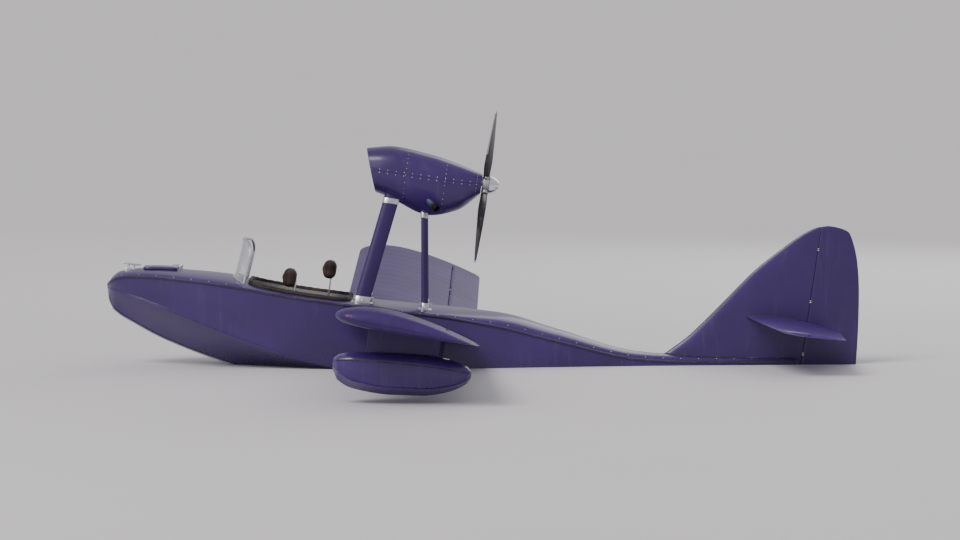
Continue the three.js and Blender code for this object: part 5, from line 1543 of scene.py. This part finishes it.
class BOAT_OT_struts(bpy.types.Operator):
    """Streamlined nacelle struts with alloy cuffs, foot plates and bolts"""
    bl_idname = "boat.struts"
    bl_label = "Nacelle struts"

    def execute(self, context):
        c, s = circle(1, 40).T
        for strut, (foot, head, chord, thick, top) in STRUTS.items():
            foot, head = np.array(foot), np.array(head)

            def at(height):
                return foot + np.expand_dims(height - foot[2], -1) * ((head - foot) / (head[2] - foot[2]))

            def oval(height, grow):
                x, y, z = np.moveaxis(at(np.asarray(height)), -1, 0)[..., None]
                return join(x + (chord / 2 + grow) * c, y + (thick / 2 + grow) * s * (1 - 0.25 * c), z)

            Skin().loft(oval(np.linspace(foot[2], head[2], 30), 0.0)).both(
                strut + "_skin", "strut paint", strut, sharp=50)
            cuffs, deck = Skin(), deck_height(foot[0], foot[1])
            for z, step in (deck + 0.004, 1), (top, -1):
                cuffs.loft([oval(z + step * h, grow) for h, grow in (
                    (0.0, 0.0045), (0.003, 0.0055), (0.046, 0.0045), (0.05, 0.0012))])
            ways = np.array([ACROSS, (0, -1, 0)] * 2)
            bolts = at(deck + np.array([0.02, 0.02, 0.04, 0.04]))
            cuffs.studs(bolts + ways * (thick / 2 + 0.0052), ways, 0.0055, 0.0028)
            px, py, _ = at(deck)
            plate = rounded_box(chord / 2 + 0.03, thick / 2 + 0.026, 0.02, 48)
            cuffs.loft([on_deck(px + plate[:, 0] * share, py + plate[:, 1] * share, rise) for share, rise in (
                (0.02, -0.004), (1, -0.004), (1, 0.003), (0.97, 0.0045), (0.02, 0.0047))])
            corners = [px, py] + np.array(CORNERS) * [chord / 2 + 0.016, thick / 2 + 0.01]
            x, y = corners.T
            cuffs.studs(on_deck(x, y, 0.0047), deck_normal(x, y), 0.0055, 0.0025)
            cuffs.both(strut + "_cuffs", "bright alloy")
        return {"FINISHED"}


# Nacelle

SQUARE = 0.86
SHAFT_HOLE, LIP_ROLL = 0.026, 0.0095


def cowl_point(x, angle, inset):
    """The cowl's section at x: a squared ellipse, each of cos and sin raised to 0.86 with its sign kept."""
    top, low, half = (sample(NACELLE, column, x) for column in (1, 2, 3))
    c, s = np.cos(angle), np.sin(angle)
    y = (half - inset) * np.sign(c) * abs(c) ** SQUARE
    return join(x, y, (top + low) / 2 + ((top - low) / 2 - inset) * np.sign(s) * abs(s) ** SQUARE)


def split_angle(x, inset, height):
    """The section's angle at which it is as high as the split line."""
    top, low = sample(NACELLE, 1, x), sample(NACELLE, 2, x)
    share = np.clip((height - (top + low) / 2) / ((top - low) / 2 - inset), -0.98, 0.98)
    return np.arcsin(np.sign(share) * abs(share) ** (1 / SQUARE))


def raked(z, shift=0.0):
    """Where the mouth's plane, moved aft by shift, is at each height: mouth less tan rake times height over
    the shaft."""
    size = sizes("nacelle")
    return size.mouth + shift - math.tan(size.rake) * (z - size.axis)


def mouth_x(x, angle, inset, shift=0.0):
    """Where a line along the cowl meets the raked mouth, solved by going round four times."""
    for _ in range(4):
        x = raked(cowl_point(x, angle, inset)[..., 2], shift)
    return x


def cowl_half(upper):
    """Closed profiles from split to split. Each runs from the lip along the outside to the back, in to the
    shaft's hole and along the inside back to the lip."""
    size = sizes("nacelle")
    gap = 0.0006 if upper else -0.0006
    along = spread((0, 0.06, 5), (0.06, 0.94, 34), (0.94, 1, 6))
    u, lip_turn = shares(9)[1:, None], np.pi * shares(9)[1:-1, None]
    profiles = []
    for s in shares(61):
        def line(inset):
            def angle_at(x):
                start = split_angle(x, inset, size.axis + gap)
                return start + s * (np.pi - 2 * start) if upper else start - s * (np.pi + 2 * start)

            x = np.full(along.shape, size.mouth)
            for _ in range(3):
                front = mouth_x(x[:1], angle_at(x[:1]), inset)
                x = front + along * (size.back - (size.wall if inset else 0) - front)
            return cowl_point(x, angle_at(x), inset)

        outer, inner = line(0.0), line(size.wall)
        turn = (1 if upper else -1) * np.pi * s
        hole = [size.back, SHAFT_HOLE * math.cos(turn), SHAFT_HOLE * math.sin(turn) + size.axis
                + gap * (abs(math.sin(turn)) < 0.1)] - np.array([[0, 0, 0], [size.wall, 0, 0]])
        lip = ((outer[0] + inner[0]) / 2 + np.cos(lip_turn) * (outer[0] - inner[0]) / 2
               - np.sin(lip_turn) * [LIP_ROLL, 0, 0])
        profiles.append(chain(
            lip[3::-1], outer, outer[-1] + (hole[0] - outer[-1]) * u, [hole.mean(0)],
            (inner[-1] + (hole[1] - inner[-1]) * u)[::-1], inner[::-1], lip[:3:-1]))
    return profiles


class BOAT_OT_nacelle(bpy.types.Operator):
    """The nacelle: two cowl halves with a rolled lip, slats in the mouth, fasteners, and hollow exhausts"""
    bl_idname = "boat.nacelle"
    bl_label = "Engine nacelle"

    def execute(self, context):
        size = sizes("nacelle")
        for name, upper in (("upper", True), ("lower", False)):
            Skin().loft(cowl_half(upper)).build(f"cowl_skin_{name}", "cowl paint", f"cowl_{name}", sharp=44)
        rivets, slats, pipe = Skin(), Skin(), Skin()
        x = np.arange(-0.6, 0.3, 0.075)
        for sign in (1, -1):
            for up in (0.016, -0.016):
                spots = cowl_point(x, split_angle(x, 0.0, size.axis + up), 0.0)
                rivets.studs(spots * [1, sign, 1], (0, sign, 0.1), 0.0038, 0.001)
        angle = np.radians(np.arange(-172, 180, 12.0))
        for at in (-0.36, 0.0, 0.285):
            spots = cowl_point(at, angle, 0.0)
            middle = (sample(NACELLE, 1, at) + sample(NACELLE, 2, at)) / 2
            rivets.studs(spots, spots - [at, 0, middle], 0.0035, 0.0012)
        rivets.build("cowl_fasteners", "bright alloy", sharp=60)

        section = rounded_box(0.0026, 0.017, 0.0024, 16)
        section[:, 0] -= 0.34 * section[:, 1]
        for z in 1.545 + 0.32 * (np.arange(size.slats) + 0.5) / size.slats:
            x = raked(z, 0.03)
            half = cowl_point(x, split_angle(x, size.wall, z), size.wall)[1] - 0.002
            slats.tube(join(x + 0.004, half * shares(25, -1), z), section, UP)
        z = np.linspace(1.45, 1.95, 201)
        x = raked(z, 0.044)
        # Upright bars, as long as there is room inside the cowl
        inside_y = cowl_point(x, split_angle(x, size.wall, z), size.wall)[:, 1]
        inside_z = (z < sample(NACELLE, 1, x) - size.wall) & (z > sample(NACELLE, 2, x) + size.wall)
        for y in (-0.085, 0.0, 0.085):
            room = z[inside_z & (inside_y > abs(y))]
            run = np.linspace(room[0] + 0.004, room[-1] - 0.004, 13)
            slats.tube(join(raked(run, 0.044), y, run), rounded_box(0.006, 0.004, 0.002, 12), AFT)
        angle = TAU * (np.arange(120) + 0.5) / 120 - np.pi / 2
        slats.loft([cowl_point(mouth_x(size.mouth, angle, inset, shift), angle, inset) for inset, shift in (
            (0.0145, 0.02), (0.0145, 0.046), (0.03, 0.046), (0.03, 0.02))], wrap=True)
        slats.build("mouth_slats", "black crackle", "mouth_grille", sharp=40, slot="grille_black")

        start, end = np.array([-0.2, 0.112, 1.551]), np.array([-0.052, 0.302, 1.446])
        t = shares(22)[:, None]
        path = start + (end - start) * t + np.array([0.012, 0, -0.008]) * t ** 3
        outer = swept(path, circle(0.03, 32), UP)
        inner = swept(path[6:], circle(0.0265, 32), UP)[::-1]
        pipe.loft(chain(outer, (outer[-1:] + inner[:1]) / 2 + unit(path[-1] - path[-2]) * 0.0018, inner))
        ring = swept(path[8:12], circle(0.0335, 32), UP)
        ends = path[[8, 11], None] + (ring[[0, -1]] - path[[8, 11], None]) * 0.9
        pipe.loft(chain(ends[:1], ring, ends[1:])).both("exhaust_pipe", "heated steel", "exhaust", sharp=50)
        assign("engine", "cast iron")
        assign("propeller_shaft", "bright alloy")
        return {"FINISHED"}


class BOAT_OT_propeller(bpy.types.Operator):
    """Three twisted blades with metal leading edges, a bolted hub, and a polished spinner"""
    bl_idname = "boat.propeller"
    bl_label = "Propeller"

    def execute(self, context):
        hub, tip = np.array([0.369, 0, sizes("nacelle").axis]), 0.78
        radius = spread((0.04, tip, 52), (tip, 0.796, 8))[:, None]
        chord, thick, pitch = (sample(BLADE, column, radius) for column in (1, 2, 3))
        chord = chord * np.sqrt(np.clip(1 - (np.maximum(radius - tip, 0) / 0.0175) ** 2, 0.02, 1))
        c, s = circle(1, 56).T
        u = chord / 2 * c + chord * 0.05 * (1 - c)
        v = thick / 2 * np.sign(s) * abs(s) ** 1.05 * (1 + 0.45 * c)
        turn = np.radians(pitch)
        blade = join(v * np.cos(turn) - u * np.sin(turn), -(u * np.cos(turn) + v * np.sin(turn)), radius)
        # Metal along the leading edge and over the tip
        edge = (abs((np.arange(56) + 28) % 56 - 27.5) <= 6) & (radius[:-1] > 0.34)
        marks = (edge | (radius[:-1] > 0.772)).astype(int)
        whole, blade_angles = Skin(), (30, 150, 270)
        for degrees in blade_angles:
            whole.loft(turn_about(blade, 0, degrees) + hub, mark=marks)
        whole.lathe(TURNED["hub"], hub, AFT, 64, 2, 0.002)
        for degrees in blade_angles:
            whole.lathe(TURNED["blade socket"], hub, turn_about(np.array(UP), 0, degrees), 40, 2, 0.003)
        spots = turn_about(join(-0.031, *circle(0.058, 6).T), 0, math.degrees(0.2))
        whole.studs(hub + spots, (-1, 0, 0), 0.006, 0.003, 2)
        whole.build("propeller_blades", ["dark blade", "bright alloy", "dull alloy"], "propeller", "propeller", 40)
        back = hub + [0.0313, 0, 0]
        t = shares(26)[1:]
        cone = join(0.004 + 0.092 * t, 0.0795 * np.sqrt(np.clip(1 - t ** 1.7, 0, 1)))
        Skin().lathe(chain(TURNED["spinner rim"], cone), back, AFT, 96).build(
            "spinner_dome", "polished dome", "spinner", "propeller", 40)
        ways = circle(1, 9)
        Skin().studs(back + join(0.01, *0.0788 * ways.T), join(0.1, *ways.T), 0.003, 0.001).build(
            "spinner_screws", "dull alloy", "", "propeller", 60, "spinner_chrome")
        return {"FINISHED"}


# Tail

# Heights of the stabilizer, the rudder's foot and the fin's shoulder, and the elevator's two ends
TAIL_Z, RUDDER_FOOT, SHOULDER, ELEVATOR = 0.85, 0.462, 1.7, (0.06, 1.44)
RUDDER_HINGE, ELEVATOR_HINGE = 3.45, 3.37
RUDDER_LUGS, ELEVATOR_LUGS = (0.58, 1.06, 1.54), (0.3, 1.18)


def fin_outline(y):
    """The fin's table, whose trailing edge keeps inside an ellipse above the shoulder, where the thickness
    falls with the fourth root of the same share."""
    shrink = np.sqrt(np.clip(1 - (np.maximum(y - SHOULDER, 0) / 0.0655) ** 2, 0.004, 1))
    tail = sample(FIN, 2, y)
    tail = np.where(y > SHOULDER, np.minimum(tail, 3.53 + 0.19 * shrink), tail)
    return sample(FIN, 1, y), tail, sample(FIN, 3, y) * shrink ** 0.5


def stood(points):
    """From a surface's own frame to upright: span becomes height."""
    return points[..., [0, 2, 1]] * [1, -1, 1]


def root_slant(points):
    """Slants a surface's inner end away from the rudder: y moves out by tan 27 degrees of the way behind
    x 3.420, fading to nothing at the tip."""
    x, y, z = np.moveaxis(points, -1, 0)
    root, tip = ELEVATOR
    start = root + np.maximum(0, x - 3.42) * math.tan(math.radians(27))
    return join(x, start + (y - root) * (tip - start) / (tip - root), z)


class BOAT_OT_tail(bpy.types.Operator):
    """Fin, rudder, water rudder, stabilizer and elevator, with coves, hinge arms and sealing strips"""
    bl_idname = "boat.tail"
    bl_label = "Tail"

    def execute(self, context):
        foil = Foil(fin_outline, RUDDER_HINGE, 34, 0.008)
        rows = foil.fixed(np.append(0.405, spread((RUDDER_FOOT, SHOULDER, 60), (SHOULDER, 1.747, 16))), True)
        # The foot goes down into the deck, and ends above the hull's end where it passes that
        rows[0, :, 1] = 0.405 + 0.056 * ease((rows[0, :, 0] - 3.33) / 0.06)
        Skin().loft(rows).placed(stood).build("fin_skin", "tail paint", "fin", sharp=36)
        rows = chain(foil.moving_span(RUDDER_FOOT, SHOULDER, RUDDER_LUGS, 0.024),
                     foil.moving(1.7645 - 0.0645 * np.cos(np.pi / 2 * shares(20)[1:])))
        # Nothing of the round nose stands ahead of the outline's top
        ahead = fin_outline(rows[..., 1])[0] - rows[..., 0]
        rows[..., 2] *= np.sqrt(np.clip(-ahead / 0.012, 0, 1))
        rows[..., 0] += np.maximum(ahead, 0)
        arms, rudder = Skin(), Skin().loft(rows)
        for lug in RUDDER_LUGS:
            foil.bracket(arms, lug, TAIL_PIN)
            foil.hinge_pin(rudder, lug, TAIL_PIN)
        arms.placed(stood).build("fin_brackets", "dull alloy")
        rudder.placed(stood).build("rudder_skin", ["tail paint", "bright alloy"], "rudder", "rudder", 36)

        blade = Foil(lambda y: (3.5 - 0.03 * (y - 0.215) / 0.247, 3.7 + 0.05 * (y - 0.215) / 0.247,
                                0.06 * np.sqrt(np.clip((y - 0.213) / 0.012, 0.1, 1))), 3.56, 26, nose=0.006)
        rows = blade.fixed(spread((0.2152, 0.228, 8), (0.228, 0.4615, 20)), False)
        Skin().loft(rows).placed(stood).build("water_blade", "strut paint", "water_rudder", "rudder", 40)
        stock = Skin().rod(0.235, 0.4605, 0.0095, (3.52, 0, 0), UP)
        for z in (0.262, 0.44):
            stock.rod(-0.01, 0.01, 0.0135, (3.52, 0, z), UP, 24)
        stock.build("water_stock", "dull alloy", body="rudder")

        flat = Foil(lambda y: [sample(STABILIZER, column, abs(y)) for column in (1, 2, 3)],
                    ELEVATOR_HINGE, 28)
        arms, seals = Skin(), Skin()
        stabilizer = Skin().loft(flat.fixed(1.4475 * np.sin(np.pi / 2 * shares(121, -1)), True))
        elevator = Skin().loft(root_slant(flat.moving_span(*ELEVATOR, ELEVATOR_LUGS, 0.026)))
        for lug in ELEVATOR_LUGS:
            flat.hinge_pin(elevator, lug, TAIL_PIN)
            flat.bracket(arms, lug, TAIL_PIN)
            flat.bracket(arms, -lug, TAIL_PIN)
        elevator.mirrored().rod(-0.1, 0.1, 0.014, (ELEVATOR_HINGE, 0, 0), ACROSS, 24, 1)
        # Stabilizer and elevator take the lightened paint: painted light for the sun on their tops
        for part, name, finishes, node, body in (
                (stabilizer, "stabilizer_skin", "stabilizer paint", "stabilizer", "airframe"),
                (arms, "stabilizer_brackets", "dull alloy", "", "airframe"),
                (elevator, "elevator_skin", ["stabilizer paint", "bright alloy"], "elevator", "elevator")):
            part.placed(lambda points: points + [0, 0, TAIL_Z]).build(name, finishes, node, body, 36)
        x = 2.196 + (3.392 - 2.196) * shares(70) ** 1.8
        half = 0 * x
        for _ in range(4):
            half = foil.half(deck_height(x, half), x)
        seals.tube(round_to_port(on_deck(x, half) + [0, 0.001, 0]), circle(0.007, 10), UP)
        x = np.linspace(2.885, 3.335, 40)
        rise = flat.half(0.03, x)
        star = [join(x, foil.half(z, x) + 0.001, z)[::way] for z, way in ((TAIL_Z - rise, -1), (TAIL_Z + rise, 1))]
        for sign in (1, -1):
            seals.tube(chain(*star) * [1, sign, 1], circle(0.006, 8), (0, sign, 0))
        seals.build("tail_seals", "black rubber", slot="tail_paint", sharp=80)
        return {"FINISHED"}


# Stage

def shining(name, kind, energy, tint, **more):
    """A light and its object."""
    light = bpy.data.lights.new(name, kind)
    light.energy, light.color = energy, tint
    for key, value in more.items():
        setattr(light, key, value)
    lamp = bpy.data.objects.new(name, light)
    bpy.context.scene.collection.objects.link(lamp)
    return lamp


def facing(thing, place, away):
    """Puts a light or camera at a place, its back to the way it is seen from."""
    thing.location = place
    thing.rotation_euler = (-away).to_track_quat("-Z", "Y").to_euler()


class BOAT_OT_stage(bpy.types.Operator):
    """A plain pale floor at the waterline, soft studio light, and the camera abeam to port"""
    bl_idname = "boat.stage"
    bl_label = "Stage"

    def execute(self, context):
        size = sizes("stage")
        line = np.linspace(-size.floor, size.floor, 9)
        mesh = bpy.data.meshes.new("floor")
        mesh.from_pydata(join(line[:, None], line, 0).reshape(-1, 3).tolist(), [],
                         Skin.cells(9, 9).reshape(-1, 4).tolist())
        floor = bpy.data.objects.new("floor", mesh)
        context.scene.collection.objects.link(floor)
        f = Finish("floor", Specular_IOR_Level=0.25)
        tone = f.noise(0.35, 2.0)
        mesh.materials.append(f.set(Base_Color=f.mix(tone, (0.66, 0.64, 0.66), (0.7, 0.68, 0.7)),
                                    Roughness=0.62 + tone * 0.1))

        world = bpy.data.worlds.new("studio")
        world.use_nodes = True
        back = world.node_tree.nodes["Background"]
        back.inputs["Color"].default_value = (0.8, 0.79, 0.82, 1.0)
        back.inputs["Strength"].default_value = 0.68
        context.scene.world = world
        key = shining("key", "SUN", 1.9, (1.0, 0.97, 0.94), angle=math.radians(28))
        key.rotation_euler = (math.radians(40), math.radians(-12), math.radians(-28))
        for name, place, toward, wide, energy in (("side", (-9.0, -14.0, 8.0), (0.5, 0, 0.6), 9.0, 420.0),
                                                  ("rim", (8.0, 13.0, 9.0), (0.5, 0, 0.9), 12.0, 650.0)):
            place = Vector(place)
            facing(shining(name, "AREA", energy, (1.0, 1.0, 1.0), size=wide), place, place - Vector(toward))

        camera = bpy.data.cameras.new("camera")
        camera.lens, camera.clip_end = size.lens, 2000.0
        eye = bpy.data.objects.new("camera", camera)
        away = Vector((0, -math.cos(size.elevation), math.sin(size.elevation)))
        facing(eye, Vector(size.aim) + away * size.distance, away)
        context.scene.collection.objects.link(eye)
        context.scene.camera = eye
        return {"FINISHED"}


# In the order of making
MAKERS = [BOAT_OT_stage, BOAT_OT_hull, BOAT_OT_deck, BOAT_OT_hatch, BOAT_OT_cleat, BOAT_OT_coaming, BOAT_OT_floor,
          BOAT_OT_controls, BOAT_OT_panel, BOAT_OT_seats, BOAT_OT_windscreen, BOAT_OT_wings, BOAT_OT_floats,
          BOAT_OT_struts, BOAT_OT_nacelle, BOAT_OT_propeller, BOAT_OT_tail]
GROUPS = {"hull": HullSizes, "cockpit": CockpitSizes, "wing": WingSizes, "nacelle": NacelleSizes,
          "colours": Colours, "stage": StageSizes}


class BOAT_PT_panel(bpy.types.Panel):
    """Lists the sizes and colours, and the operators that make the pieces"""
    bl_idname = "BOAT_PT_panel"
    bl_label = "Flying Boat"
    bl_space_type = "VIEW_3D"
    bl_region_type = "UI"
    bl_category = "Flying Boat"

    def draw(self, context):
        for group, kind in GROUPS.items():
            column = self.layout.column(align=True)
            for key in kind.__annotations__:
                column.prop(sizes(group), key)
        for maker in MAKERS:
            self.layout.operator(maker.bl_idname)


def register():
    for kind in [*GROUPS.values(), *MAKERS, BOAT_PT_panel]:
        bpy.utils.register_class(kind)
    for group, kind in GROUPS.items():
        setattr(bpy.types.Scene, "boat_" + group, PointerProperty(type=kind))


def unregister():
    for group in GROUPS:
        delattr(bpy.types.Scene, "boat_" + group)
    for kind in [BOAT_PT_panel, *MAKERS[::-1], *GROUPS.values()]:
        bpy.utils.unregister_class(kind)


def main():
    register()
    for maker in MAKERS:
        group, name = maker.bl_idname.split(".")
        getattr(getattr(bpy.ops, group), name)()


if __name__ == "__main__":
    main()
